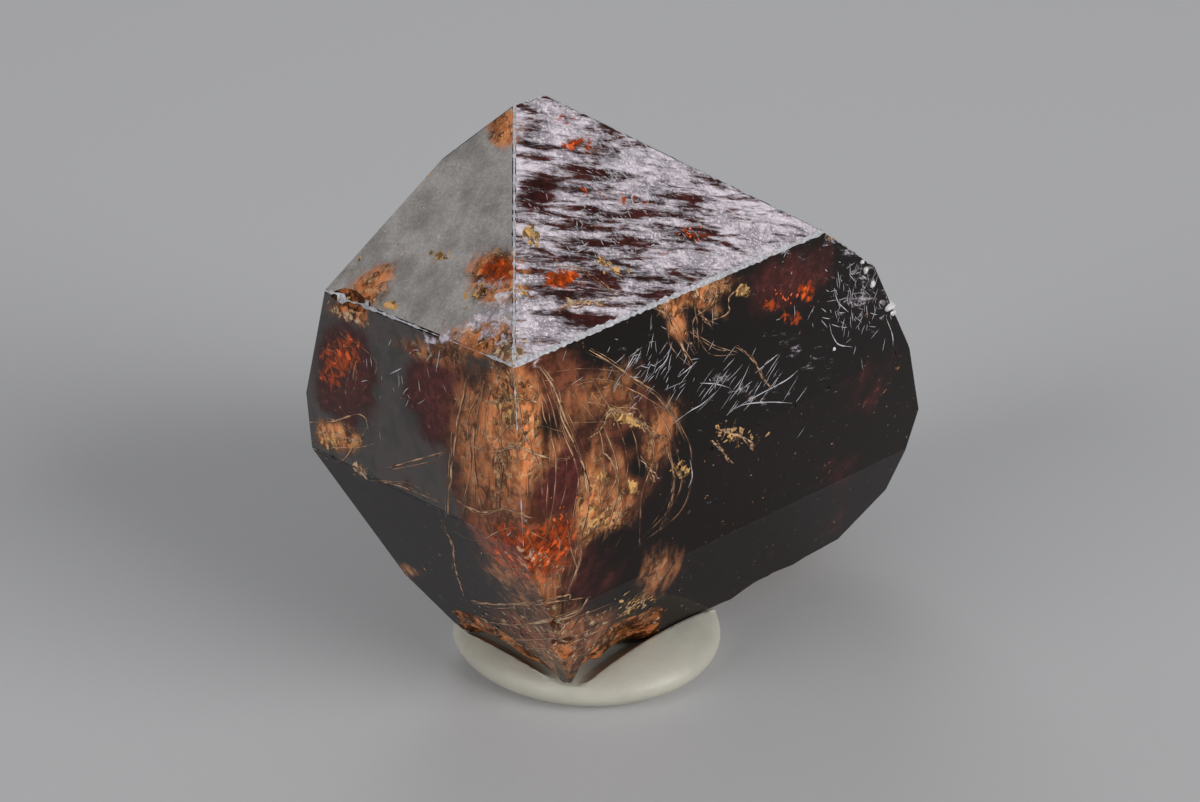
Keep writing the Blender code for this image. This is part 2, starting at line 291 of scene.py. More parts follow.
# Lines of cracks that reach the surface, as pixels of the photograph, with a width in millimetres
CRACKS = {
    "lens_left_rim": ([(540, 367), (555, 391), (565, 417), (578, 450), (585, 478), (587, 506),
                       (581, 533), (579, 561), (568, 592)], 0.085),
    "lens_top_rim": ([(589, 350), (611, 363), (634, 378), (655, 394), (672, 414), (685, 440)], 0.05),
    "lens_right_rim": ([(668, 452), (674, 478), (670, 505), (660, 530)], 0.055),
    "lens_fold": ([(587, 440), (600, 430), (612, 412), (632, 416), (645, 432)], 0.10),
    "lens_cross": ([(640, 455), (650, 470), (655, 482)], 0.07),
    "lens_inner": ([(598, 448), (612, 462), (616, 480), (606, 498)], 0.06),
    "edge_wave_1": ([(470, 395), (492, 402), (515, 398), (545, 404)], 0.05),
    "edge_wave_2": ([(462, 440), (490, 452), (516, 448), (550, 458), (570, 458)], 0.06),
    "edge_wave_3": ([(455, 500), (480, 512), (508, 510), (530, 518)], 0.05),
    "left_arc_1": ([(470, 375), (459, 410), (455, 445), (450, 480), (448, 515)], 0.055),
    "left_arc_2": ([(485, 380), (476, 420), (474, 460), (480, 500), (490, 530)], 0.04),
    "left_boundary": ([(441, 520), (452, 545), (456, 570), (464, 596)], 0.06),
    "left_fracture": ([(380, 470), (405, 463), (430, 456), (447, 449)], 0.035),
    "left_fracture_low": ([(372, 480), (400, 486), (440, 502)], 0.03),
    "foot_arc_1": ([(470, 600), (500, 604), (540, 602), (570, 594)], 0.10),
    "foot_arc_2": ([(455, 612), (490, 622), (530, 624), (575, 612), (588, 598)], 0.10),
    "foot_arc_3": ([(480, 640), (520, 648), (560, 646), (600, 630)], 0.08),
    "fire_line": ([(545, 588), (556, 574), (566, 562)], 0.04),
    "wedge_edge": ([(655, 303), (668, 318), (680, 343), (690, 366)], 0.05),
    "wedge_line": ([(698, 310), (706, 320), (712, 329)], 0.045),
    "prism_line": ([(737, 345), (752, 360), (762, 376), (770, 386)], 0.05),
    "prism_line_left": ([(690, 330), (714, 345), (736, 352)], 0.03),
    "gold_drop": ([(716, 428), (732, 434), (748, 440), (752, 450)], 0.10),
    "gold_drop_low": ([(712, 440), (722, 450), (728, 462)], 0.08),
    "foot_gold": ([(616, 618), (632, 606), (648, 598)], 0.10),
    "glow_lip": ([(556, 266), (580, 268), (592, 276)], 0.04),
    "chip_line": ([(560, 308), (578, 303), (592, 304), (606, 306)], 0.10),
    "face_line": ([(600, 258), (612, 270), (622, 276)], 0.07),
    "face_curve": ([(592, 275), (605, 285), (616, 297)], 0.03),
}

# Fans of thin cracks: the curve that each begins with and ends with, how many lines lie between
# them, and their width in millimetres
CRACK_FANS = {
    "front_left_fan": ([(468, 378), (456, 420), (448, 470), (443, 520)],
                       [(512, 374), (510, 420), (508, 470), (506, 530)], 9, 0.025),
    "front_right_fan": ([(518, 374), (520, 420), (522, 470), (520, 520)],
                        [(545, 368), (570, 420), (590, 480), (580, 560)], 9, 0.028),
    "lens_fan": ([(560, 372), (592, 420), (602, 480), (588, 540)],
                 [(672, 410), (688, 455), (682, 495), (648, 545)], 10, 0.032),
    "lens_top_fan": ([(556, 366), (590, 362), (626, 378), (664, 404)],
                     [(575, 430), (600, 418), (632, 424), (662, 440)], 6, 0.028),
    "edge_waves": ([(462, 382), (490, 390), (520, 384), (560, 392)],
                   [(446, 512), (480, 534), (520, 512), (566, 530)], 4, 0.021),
    "foot_waves": ([(452, 590), (500, 606), (550, 604), (584, 590)],
                   [(470, 636), (520, 656), (580, 652), (650, 618)], 6, 0.035),
    "fire_fan": ([(482, 540), (500, 560), (520, 584), (530, 600)],
                 [(560, 520), (566, 548), (566, 572), (560, 596)], 8, 0.025),
    "left_fan": ([(330, 345), (340, 360), (344, 378), (340, 396)],
                 [(352, 335), (364, 352), (366, 372), (360, 392)], 5, 0.021),
    "wedge_fan": ([(655, 304), (668, 312), (676, 330), (690, 364)],
                  [(745, 282), (728, 296), (716, 312), (706, 326)], 7, 0.032),
    "lamp_fan": ([(312, 424), (332, 420), (352, 424), (370, 438)],
                 [(314, 452), (334, 456), (354, 452), (368, 442)], 6, 0.042),
}

# Scratches that stand out one by one, as pixels of the photograph. The rim arcs and the fold glint
# are painted glints of light, drawn as scratches
LONG_SCRATCHES = {
    "prism_cut_1": [(622, 376), (630, 362), (638, 348)],
    "prism_cut_2": [(656, 370), (666, 360), (672, 342)],
    "prism_cut_3": [(678, 377), (688, 369), (697, 361)],
    "prism_cut_4": [(672, 424), (690, 411), (702, 404), (718, 390)],
    "prism_cut_5": [(734, 409), (746, 404), (770, 402), (792, 403)],
    "prism_cut_6": [(735, 408), (760, 394), (786, 380), (798, 370)],
    "prism_cut_7": [(700, 383), (716, 384), (730, 388)],
    "prism_cut_8": [(755, 373), (768, 362), (778, 354)],
    "end_cut_1": [(835, 292), (838, 302), (848, 312)],
    "end_cut_2": [(831, 333), (838, 344), (852, 347)],
    "end_cut_3": [(886, 318), (892, 334), (893, 346)],
    "fold_glint_1": [(690, 460), (692, 476), (688, 488)],
    "rim_glint_1": [(597, 110), (618, 128), (634, 150), (640, 168)],
    "rim_glint_2": [(604, 108), (628, 124), (646, 146), (652, 160)],
    "rim_glint_3": [(616, 116), (640, 132), (656, 150)],
    "face_hook": [(640, 190), (632, 196), (634, 204), (642, 202)],
    "left_cut_1": [(390, 374), (402, 368)],
    "left_cut_2": [(436, 372), (440, 350)],
}

# Fields of fine scratches: the pixel and half-sizes of the field, how many, their direction on the
# picture in degrees, how far that strays, and their length in millimetres
SCRATCH_FIELDS = {
    "upper_right_all": (640, 215, 125, 70, 520, -60.0, 60.0, 0.11),
    "upper_right_rim": (620, 150, 40, 38, 110, -55.0, 25.0, 0.20),
    "prism_right_left": (650, 370, 60, 40, 70, 40.0, 40.0, 0.26),
    "prism_right_middle": (735, 388, 66, 34, 46, 35.0, 12.0, 0.46),
    "prism_right_end": (855, 300, 44, 46, 120, -50.0, 40.0, 0.22),
    "prism_left": (400, 380, 55, 45, 24, 60.0, 40.0, 0.20),
    "upper_left": (430, 230, 60, 70, 34, 60.0, 80.0, 0.12),
    "foot": (530, 560, 50, 40, 14, 70.0, 80.0, 0.12),
}

# White nodules on the right edge, as pixel and radius in millimetres
NODULES = {
    "upper": (862, 262, 0.10),
    "high": (866, 270, 0.14),
    "middle": (873, 284, 0.13),
    "low": (890, 307, 0.20),
    "low_side": (893, 313, 0.12),
    "speck": (834, 349, 0.07),
}

# Clusters of small flakes: pixel, half-sizes, how many, size in millimetres and which material. The
# fire flakes and the cream glint and sparkle clusters are painted glints; the other cream flakes are
# chips
FLAKES = {
    "ridge_gold": (532, 236, 9, 14, 7, 0.14, "gold"),
    "ridge_gold_low": (520, 285, 12, 18, 7, 0.11, "gold"),
    "face_gold": (608, 267, 16, 6, 7, 0.14, "gold"),
    "left_rim_gold": (368, 288, 34, 22, 16, 0.14, "gold"),
    "left_face_gold": (438, 258, 26, 8, 5, 0.11, "gold"),
    "left_ridge_gold": (485, 295, 22, 10, 8, 0.12, "gold"),
    "wedge_gold": (735, 293, 22, 9, 8, 0.13, "gold"),
    "wedge_leg_gold": (684, 340, 9, 22, 7, 0.12, "gold"),
    "cluster_right": (735, 434, 26, 14, 11, 0.30, "gold"),
    "cluster_glints": (742, 432, 22, 14, 9, 0.22, "cream"),
    "lens_streak": (626, 418, 26, 9, 16, 0.14, "gold"),
    "lens_end": (681, 468, 11, 14, 9, 0.20, "gold"),
    "lens_low": (600, 510, 26, 20, 13, 0.13, "gold"),
    "edge_gold": (512, 400, 18, 44, 16, 0.12, "gold"),
    "foot_cluster": (636, 602, 24, 11, 10, 0.28, "gold"),
    "foot_glints": (630, 606, 22, 12, 8, 0.20, "cream"),
    "foot_flakes": (560, 630, 90, 26, 90, 0.20, "cream"),
    "foot_flakes_left": (480, 620, 40, 14, 34, 0.17, "cream"),
    "foot_sparkle": (523, 562, 24, 20, 22, 0.09, "cream"),
    "corner_cream": (513, 350, 16, 14, 16, 0.12, "cream"),
    "ridge_cream": (583, 303, 26, 5, 12, 0.15, "cream"),
    "left_speck": (360, 470, 8, 9, 10, 0.16, "cream"),
    "lamp": (338, 440, 22, 9, 9, 0.26, "gold"),
    "low_left": (410, 572, 10, 12, 5, 0.10, "gold"),
    "lens_fire": (560, 530, 20, 40, 14, 0.13, "fire"),
    "prism_fire": (790, 300, 26, 14, 14, 0.14, "fire"),
    "upper_fire": (690, 233, 22, 8, 10, 0.14, "fire"),
    "left_fire": (346, 350, 12, 14, 8, 0.14, "fire"),
}

# Every ridge that is worn bright, partly as wear and partly as a painted highlight: the two faces
# that meet there, the strip's half-width on each in millimetres, and how much of its length is worn
WORN_AND_LIT_RIDGES = {
    "vertical_ridge": ("upper_left", "upper_right", 0.030, 0.040, 0.9),
    "left_base_ridge": ("upper_left", "prism_left", 0.045, 0.030, 0.6),
    "right_base_ridge": ("upper_right", "prism_right", 0.085, 0.045, 0.95),
    "front_edge": ("prism_left", "prism_right", 0.03, 0.03, 0.35),
    "left_low_ridge": ("prism_left", "lower_left", 0.02, 0.02, 0.2),
    "right_outline": ("upper_right", "upper_back_right", 0.06, 0.04, 0.75),
    "tip_outline": ("upper_right", "upper_back_left", 0.05, 0.04, 0.8),
    "left_outline": ("upper_left", "steep_back_left", 0.04, 0.04, 0.4),
    "left_outline_high": ("upper_left", "upper_back_left", 0.04, 0.04, 0.5),
    "end_outline_high": ("prism_right", "upper_back_right", 0.05, 0.04, 0.6),
    "end_outline": ("prism_right", "steep_back_right", 0.05, 0.04, 0.6),
    "end_outline_low": ("lower_right", "steep_back_right", 0.03, 0.03, 0.3),
    "top_ridge": ("upper_back_left", "upper_back_right", 0.04, 0.04, 0.6),
    "back_ridge": ("upper_back_left", "steep_back_left", 0.04, 0.04, 0.5),
    "back_slope_ridge": ("steep_back_left", "upper_back_right", 0.04, 0.04, 0.6),
    "back_base_ridge": ("steep_back_left", "prism_back_left", 0.04, 0.04, 0.5),
    "end_ridge": ("upper_back_right", "steep_back_right", 0.04, 0.04, 0.6),
    "end_base_ridge": ("steep_back_right", "prism_back_right", 0.04, 0.04, 0.5),
}

# The putty, as in the solid: a ball's middle and half-sizes, where it bends into its flat back, and
# its distance from the crystal
PUTTY_MIDDLE = np.array((-1.61, 0.93, 0.66))
PUTTY_RADII = np.array((3.47, 3.96, 1.06))
PUTTY_BACK = 3.80
PUTTY_BACK_SOFTNESS = 0.90
PRESS_GAP = 0.02
PRESS_HEIGHT = 0.3            # lower than this, the putty isn't pressed in
PRESS_SLOPE = -0.05           # a face whose normal points down more than this presses on the putty
PRESS_PASSES = 3

# The soft lights: the direction that each shines from, and the setting with its power
LIGHTS = {
    "key_light": ((0.12, -0.92, 0.38), "key_power"),
    "fill_light": ((-0.92, 0.12, 0.36), "fill_power"),
    "back_light": ((0.55, 0.65, 0.52), "back_power"),
}
LIGHT_DISTANCE = 750.0
LIGHT_SIZE = 400.0
LIGHT_AIM = 8.0               # height that the lights point at
FLOOR_HALF = 600.0
SKY_COLOUR = (0.97, 0.98, 1.0, 1.0)
CAMERA_REACH = (0.5, 5000.0)  # the nearest and the furthest that the camera sees

random_source = np.random.default_rng(7)


def paint(name, description, default):
    """A setting for a colour."""
    return FloatVectorProperty(name=name, description=description, default=default,
                               subtype="COLOR", min=0.0, max=1.0)


def share(name, description, default):
    """A setting between nothing and all."""
    return FloatProperty(name=name, description=description, default=default,
                         subtype="FACTOR", min=0.0, max=1.0)


def power(name, description, default):
    """A setting for a light's power in watts."""
    return FloatProperty(name=name, description=description, default=default,
                         unit="POWER", min=0.0)


class CrystalLook(bpy.types.PropertyGroup):
    """Settings for the crystal and for the thin pieces on it."""
    clear_tint: paint("Clear tint", "Tint of the clear places", (0.45, 0.28, 0.22))
    depth_colour: paint("Depth colour", "What light keeps on its way through the crystal",
                        (0.72, 0.22, 0.09))
    depth_density: FloatProperty(
        name="Depth density", description="How fast the crystal takes light, for each metre",
        default=1500.0, min=0.0)
    ior: FloatProperty(name="IOR", description="Index of refraction of zircon", default=1.95, min=1.0)
    shine: share("Shine", "Strength of the films' reflections", 0.20)
    glare: share("Glare", "Strength of the clear places' reflections", 0.10)
    # The smoke is the crystal's own dark film and, deepest on the downward faces, painted shade
    smoke: paint("Smoke", "Colour of the dark film on the black faces", (0.012, 0.008, 0.007))
    # The grey film is partly a thin film and partly a painted reflection of the grey surroundings
    grey_film_and_reflection: paint("Grey film", "Colour of the thin film on the left upper face", (0.47, 0.44, 0.42))
    # The haze colour is partly a frosted film and partly painted sheen of the light
    haze: paint("Haze", "Colour of the silvery haze", (0.72, 0.64, 0.70))
    # The amber colour also paints the glow of light through the crystal
    amber: paint("Amber", "Colour of the amber sheets", (0.76, 0.255, 0.088))
    tan: paint("Tan", "Colour of the thin veins", (0.78, 0.50, 0.28))
    brown: paint("Brown", "Colour of the red-brown glow behind the front edge", (0.27, 0.082, 0.040))
    red: paint("Red", "Colour of the red glows", (0.58, 0.085, 0.012))
    wine: paint("Wine red", "Colour of the deep red glow", (0.150, 0.034, 0.028))
    gold: paint("Gold", "Colour of the gold flakes", (0.74, 0.42, 0.15))
    # Cream also paints the glints and sparkle of light on flakes
    cream: paint("Cream", "Colour of chips and broken places", (0.52, 0.36, 0.22))
    # Worn edges are partly wear and partly a painted highlight along the ridges; the scratches are wear
    wear_and_highlight: paint("Worn edge", "Colour of worn edges and scratches", (0.62, 0.61, 0.64))
    crack: paint("Crack", "Colour of the bright lines of cracks", (0.76, 0.46, 0.25))
    crack_shadow: paint("Crack shadow", "Colour of the dark lines beside them", (0.15, 0.040, 0.014))
    nodule: paint("Nodule", "Colour of the white nodules", (0.78, 0.77, 0.76))
    strip_lift: FloatProperty(
        name="Strip lift", description="How far strips and lines stand off the face",
        default=0.006 * MM, unit="LENGTH", min=0.0)
    scratch_width: FloatProperty(
        name="Scratch width", description="Width of a fine scratch", default=0.013 * MM,
        unit="LENGTH", min=0.0)


class PuttyLook(bpy.types.PropertyGroup):
    """Settings for the putty."""
    colour: paint("Colour", "Colour of the putty", (0.51, 0.49, 0.415))
    roughness: share("Roughness", "Roughness of the putty", 0.42)
    rings: IntProperty(name="Rings", description="Rows of faces of the putty", default=90, min=8)


class StageLook(bpy.types.PropertyGroup):
    """Settings for the floor and the lights."""
    floor: paint("Floor", "Colour of the floor", (0.60, 0.60, 0.61))
    key_power: power("Key power", "Power of the soft light on the right upper face", 4.2)
    fill_power: power("Fill power", "Power of the soft light on the left", 2.1)
    back_power: power("Back power", "Power of the soft light behind", 0.77)
    sky: FloatProperty(
        name="Sky", description="Brightness of the even light all round", default=0.19, min=0.0)


def face_planes():
    """Unit normals and heights of all faces: a point p is inside where normal . p < height."""
    plan, tilt, away = np.array(list(FACES.values())).T
    plan, tilt = np.radians(plan), np.radians(tilt)
    normals = np.stack((np.cos(plan) * np.sin(tilt), np.sin(plan) * np.sin(tilt), np.cos(tilt)), 1)
    return normals, normals @ FRONT_CORNER + away


NORMALS, HEIGHTS = face_planes()
CAMERA_AXES = np.array(Euler([math.radians(a) for a in CAMERA_TURN]).to_matrix())


def on_crystal(pixels):
    """Where the photograph's pixels fall on the flat faces, and which face each one meets: the last
    of the planes facing the camera that the ray from the camera passes through. A point that would
    lie beside the crystal is moved back onto it, along the normal of the face it is furthest out of."""
    pixels = np.asarray(pixels, float).reshape(-1, 2)
    flat = np.stack((pixels[:, 0] - PHOTO_SIZE[0] / 2, PHOTO_SIZE[1] / 2 - pixels[:, 1],
                     np.full(len(pixels), -FOCAL_PIXELS)), 1)
    rays = flat @ CAMERA_AXES.T / FOCAL_PIXELS
    towards = rays @ NORMALS.T
    reach = (HEIGHTS - NORMALS @ np.array(CAMERA_PLACE)) / np.where(towards < 0, towards, 1.0)
    reach = np.where(towards < 0, reach, -np.inf)
    face = reach.argmax(1)
    points = np.array(CAMERA_PLACE) + rays * reach.max(1)[:, None]
    for _ in range(MOVES_BACK):
        above = points @ NORMALS.T - HEIGHTS
        out = above.max(1) > STILL_ON
        face = np.where(out, above.argmax(1), face)
        points = points - (above.max(1) * out)[:, None] * NORMALS[face]
    return points, face


def set_mesh(name, points, faces, material, smooth=True):
    """A new object of points in millimetres and an array of faces with equal corner counts."""
    mesh = bpy.data.meshes.new(name)
    points = np.asarray(points, float).reshape(-1, 3) * MM
    faces = np.asarray(faces)
    mesh.vertices.add(len(points))
    mesh.vertices.foreach_set("co", points.ravel())
    mesh.loops.add(faces.size)
    mesh.loops.foreach_set("vertex_index", faces.ravel())
    mesh.polygons.add(len(faces))
    mesh.polygons.foreach_set("loop_start", np.arange(len(faces)) * faces.shape[1])
    mesh.polygons.foreach_set("use_smooth", np.full(len(faces), smooth))
    mesh.update(calc_edges=True)
    mesh.validate()
    mesh.materials.append(material)
    piece = bpy.data.objects.new(name, mesh)
    bpy.context.scene.collection.objects.link(piece)
    return piece


def read(elements, name, width=1, kind=float):
    """One value of each element of a mesh as an array, or a row of width values."""
    values = np.empty(len(elements) * width, kind)
    elements.foreach_get(name, values)
    return values.reshape(-1, width) if width > 1 else values


def grid_faces(count, rows, columns):
    """Four-cornered faces of count separate grids, each with rows by columns of points."""
    first = np.arange(count)[:, None, None] * rows * columns
    corner = first + np.arange(rows - 1)[:, None] * columns + np.arange(columns - 1)
    return np.stack((corner, corner + 1, corner + columns + 1, corner + columns), -1).reshape(-1, 4)


def keep(piece):
    """Puts a piece on the one body."""
    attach(piece, "root")
    return piece


def settle(piece, lift):
    """Lets every point of a thin piece down onto the crystal's real surface, worn and broken places
    too, and as much as lift off it."""
    wrap = piece.modifiers.new("settle", "SHRINKWRAP")
    wrap.target = bpy.data.objects["crystal"]
    wrap.wrap_method = "NEAREST_SURFACEPOINT"
    wrap.wrap_mode = "ABOVE_SURFACE"
    wrap.offset = lift * MM
    loose = piece.data
    depsgraph = bpy.context.evaluated_depsgraph_get()
    piece.data = bpy.data.meshes.new_from_object(piece.evaluated_get(depsgraph))
    piece.modifiers.clear()
    bpy.data.meshes.remove(loose)
    piece.data.name = piece.name
    return piece


def on_surface(points):
    """The nearest places of the crystal's real surface, and its normals there."""
    depsgraph = bpy.context.evaluated_depsgraph_get()
    surface = BVHTree.FromObject(bpy.data.objects["crystal"], depsgraph)
    found = [surface.find_nearest(Vector(point * MM)) for point in points]
    places = np.array([place for place, _, _, _ in found]) / MM
    normals = np.array([normal for _, normal, _, _ in found])
    return places, normals


def unit(vectors):
    """The vectors, each made one long."""
    return vectors / np.maximum(np.linalg.norm(vectors, axis=-1, keepdims=True), 1e-9)


def ribbons(paths, normals, widths, lift):
    """Flat ribbons along paths (count, steps, 3): each point moves out along the face normal by
    lift, and to both sides, across the path's direction in the face, by half its width."""
    along = unit(np.gradient(paths, axis=1))
    side = unit(np.cross(normals, along))
    middle = paths + normals * lift
    rows = np.stack((middle - side * widths[..., None] / 2, middle + side * widths[..., None] / 2), 2)
    return rows, grid_faces(rows.shape[0], rows.shape[1], 2)


class Tree:
    """Adds nodes to one material. Each call returns the new node's first output."""

    def __init__(self, name):
        old = bpy.data.materials.get(name)
        if old:
            bpy.data.materials.remove(old)
        self.material = bpy.data.materials.new(name)
        self.material.use_nodes = True
        self.nodes = self.material.node_tree.nodes
        self.links = self.material.node_tree.links
        self.shader = self.nodes["Principled BSDF"]
        place = self.add("ShaderNodeTexCoord").node.outputs["Object"]
        self.place = self.add("ShaderNodeVectorMath", place, scale=1.0 / MM, operation="SCALE")

    def add(self, kind, *values, scale=None, **settings):
        """A new node with these settings, its inputs filled in order."""
        node = self.nodes.new(kind)
        for key, value in settings.items():
            setattr(node, key, value)
        for index, value in enumerate(values):
            self.fill(node.inputs[index], value)
        if scale is not None:
            node.inputs["Scale"].default_value = scale
        return node.outputs[0]

    def fill(self, socket, value):
        """Links a socket into an input, or sets the input's own value."""
        if isinstance(value, bpy.types.NodeSocket):
            self.links.new(value, socket)
        elif value is not None:
            socket.default_value = value

    def set(self, **values):
        """Fills inputs of the Principled shader: base_color becomes Base Color."""
        for key, value in values.items():
            if isinstance(value, (tuple, list)) or hasattr(value, "foreach_get"):
                value = (*value[:3], 1.0)
            name = {"ior": "IOR", "specular_ior_level": "Specular IOR Level"}.get(
                key, key.replace("_", " ").title())
            self.fill(self.shader.inputs[name], value)

    def maths(self, operation, first, second=0.0, clamp=False):
        """A sum of two values, or a product and the like."""
        return self.add("ShaderNodeMath", first, second, operation=operation, use_clamp=clamp)

    def along(self, sizes, turn=(0, 0, 0)):
        """The place along turned axes, each counted in its own size in millimetres."""
        node = self.add("ShaderNodeMapping", self.place, vector_type="TEXTURE").node
        node.inputs["Rotation"].default_value = [math.radians(a) for a in turn]
        node.inputs["Scale"].default_value = sizes
        return node.outputs[0]

    def noise(self, scale, detail=4.0, roughness=0.55, place=None, distortion=0.0):
        """Soft noise, mostly between 0.3 and 0.7."""
        node = self.add("ShaderNodeTexNoise", place or self.place).node
        node.inputs["Scale"].default_value = scale
        node.inputs["Detail"].default_value = detail
        node.inputs["Roughness"].default_value = roughness
        node.inputs["Distortion"].default_value = distortion
        return node.outputs[0]

    def splinters(self, sizes, turn, bend):
        """Cells like the splinters of cracked glass, their borders bent by noise: a random number
        for each cell."""
        place = self.along(sizes, turn)
        warp = self.add("ShaderNodeTexNoise", place, scale=0.9).node
        warp.inputs["Detail"].default_value = 1.0
        warp = self.add("ShaderNodeVectorMath", warp.outputs["Color"], scale=bend, operation="SCALE")
        place = self.add("ShaderNodeVectorMath", place, warp, operation="ADD")
        cells = self.add("ShaderNodeTexVoronoi", place, feature="F1").node
        cells.inputs["Scale"].default_value = 1.0
        return self.add("ShaderNodeSeparateColor", cells.outputs["Color"])

    def ramp(self, value, low, high, to_low=0.0, to_high=1.0):
        """Goes smoothly from to_low, where value is low, to to_high, where it is high."""
        node = self.add("ShaderNodeMapRange", value, low, high, to_low, to_high).node
        node.interpolation_type = "SMOOTHSTEP"
        return node.outputs[0]

    def mix(self, amount, first, second):
        """The first colour where amount is 0 and the second where it is 1."""
        node = self.add("ShaderNodeMix", data_type="RGBA").node
        for socket, value in zip((node.inputs[0], node.inputs[6], node.inputs[7]),
                                 (amount, first, second)):
            if not isinstance(value, (bpy.types.NodeSocket, float, int)):
                value = (*value[:3], 1.0)
            self.fill(socket, value)
        return node.outputs[2]

    def mark(self, name):
        """A number that the mesh carries under this name."""
        return self.add("ShaderNodeAttribute", attribute_name=name).node.outputs["Fac"]

    def bump(self, height, strength, distance):
        """Lets the light see a fine relief."""
        node = self.add("ShaderNodeBump").node
        node.inputs["Strength"].default_value = strength
        node.inputs["Distance"].default_value = distance
        self.fill(node.inputs["Height"], height)
        self.fill(self.shader.inputs["Normal"], node.outputs[0])


def times(colour, factor):
    """A lighter or darker shade of a colour."""
    return tuple(min(1.0, part * factor) for part in colour[:3])


def crystal_material(look):
    """Clear red-brown zircon that takes light on its way, under films and patches that the mesh
    marks, some of them painted light: glows, sheen, a reflection and shade. Each mark is compared
    with noise, so that its border breaks up. Thin veins run where a smooth noise crosses its middle
    value."""
    tree = Tree("zircon_clear")

    # Noises of several sizes and directions
    rough = tree.noise(1.3, 3.0, 0.6)
    fine = tree.noise(5.0, 4.0, 0.65, distortion=0.4)
    grains = tree.noise(15.0, 2.0, 0.7)
    brushed = tree.noise(1.0, 5.0, 0.74, tree.along((1.1, 0.28, 0.20), STREAK_TURN), 0.3)
    tall = tree.noise(1.0, 4.0, 0.6, tree.along((0.36, 0.36, 1.1), (8, -6, 20)), 0.8)
    wide = tree.noise(1.0, 4.0, 0.6, tree.along((0.8, 0.8, 0.30), (-12, 8, 0)), 1.0)
    big = tree.splinters((0.42, 0.42, 0.75), (12, -10, 30), 0.9)
    small = tree.splinters((0.13, 0.13, 0.20), (-15, 20, 10), 0.8)

    def patch(name, noise, softness, weight, half=0.5):
        """A mark with a ragged border: noise moves the value that is compared with half."""
        ragged = tree.maths("MULTIPLY", tree.maths("SUBTRACT", noise, 0.5), weight)
        return tree.ramp(tree.maths("ADD", tree.mark(name), ragged), half - softness, half + softness)

    def vein(noise, half_width, level=0.5):
        """A thin line where the noise crosses a level."""
        away = tree.maths("ABSOLUTE", tree.maths("SUBTRACT", noise, level))
        return tree.ramp(away, half_width, 0.0)

    # Where each look shows, and how strongly
    veins = tree.maths("MAXIMUM", vein(tall, 0.020), vein(wide, 0.014))
    veins = tree.maths("MULTIPLY", tree.maths("MAXIMUM", veins, vein(tall, 0.010, 0.58)),
                       tree.ramp(fine, 0.40, 0.58))
    grey = tree.maths("MULTIPLY", tree.mark("grey"), tree.ramp(rough, 0.3, 0.7, 0.68, 1.1))
    haze = patch("haze", brushed, 0.40, 3.8, 0.9)
    wine = patch("wine", rough, 0.45, 1.0, 0.6)
    brown = patch("brown", rough, 0.46, 0.8)
    amber = patch("amber", tall, 0.46, 0.9, 0.50)
    red = patch("red", fine, 0.30, 2.0)
    gold = patch("gold", fine, 0.12, 2.2)
    cream = patch("cream", fine, 0.14, 2.4)
    broken = tree.mark("broken")

    def over(tone, amount, opacity=None):
        """Lays a film over those below. Over a clear place its colour rules early, where it still
        lets light through, and over a dense film it comes in evenly."""
        below, covered = layers[-1]
        ruling = tree.maths("ADD", tree.maths("MULTIPLY", covered, 0.6), 0.4)
        covering = amount if opacity is None else tree.maths("MULTIPLY", amount, opacity)
        layers.append((tree.mix(tree.ramp(amount, 0.0, ruling), below, tone),
                       tree.maths("MAXIMUM", covered, covering)))

    # The films, from the lowest to the topmost, each with its own shades. The smoke is partly painted
    # shade, the grey film partly a painted reflection, the wine, brown, amber and red are painted glows,
    # and the haze is partly a painted sheen
    layers = [(look.smoke, tree.mark("smoke"))]
    # Grey film: partly a thin film, partly a painted reflection of the grey surroundings
    over(tree.mix(tree.ramp(grains, 0.4, 0.65), times(look.grey_film_and_reflection, 0.8), look.grey_film_and_reflection), grey)
    # Wine red: painted deep red glow of light inside the crystal
    over(tree.mix(tree.ramp(fine, 0.4, 0.65), times(look.wine, 0.5), look.wine), wine, 0.75)
    # Brown: painted red-brown glow of light behind the front edge
    over(tree.mix(tree.ramp(tree.maths("ADD", tall, wide), 0.85, 1.2), times(look.brown, 0.35),
                  look.brown), brown, 0.85)
    # Amber sheets: a painted glow of light through the crystal over its cracks, with painted highlights
    # where the fine noise is high, at twice the colour
    shade = tree.maths("ADD", tree.maths("MULTIPLY", tree.maths("ADD", rough, wide), 0.45),
                       tree.maths("ADD", tree.maths("MULTIPLY", big, 0.45),
                                  tree.maths("MULTIPLY", small, 0.30)))
    sheets = tree.mix(tree.ramp(shade, 0.58, 1.06), times(look.amber, 0.16), look.amber)
    sheets = tree.mix(tree.ramp(fine, 0.54, 0.70, 0.0, 0.7), sheets, times(look.amber, 2.0))
    sheets = tree.mix(veins, sheets, look.tan)
    over(sheets, amber, tree.maths("MAXIMUM", tree.ramp(shade, 0.66, 1.0, 0.4, 0.95), veins))
    # The silver haze: partly frosted film, partly painted sheen of the light, with brighter grains
    silver = tree.mix(tree.ramp(tree.maths("ADD", fine, rough), 0.80, 1.18), times(look.haze, 0.50),
                      times(look.haze, 1.10))
    over(tree.mix(tree.ramp(grains, 0.50, 0.68), silver, times(look.haze, 1.4)), haze, 0.9)
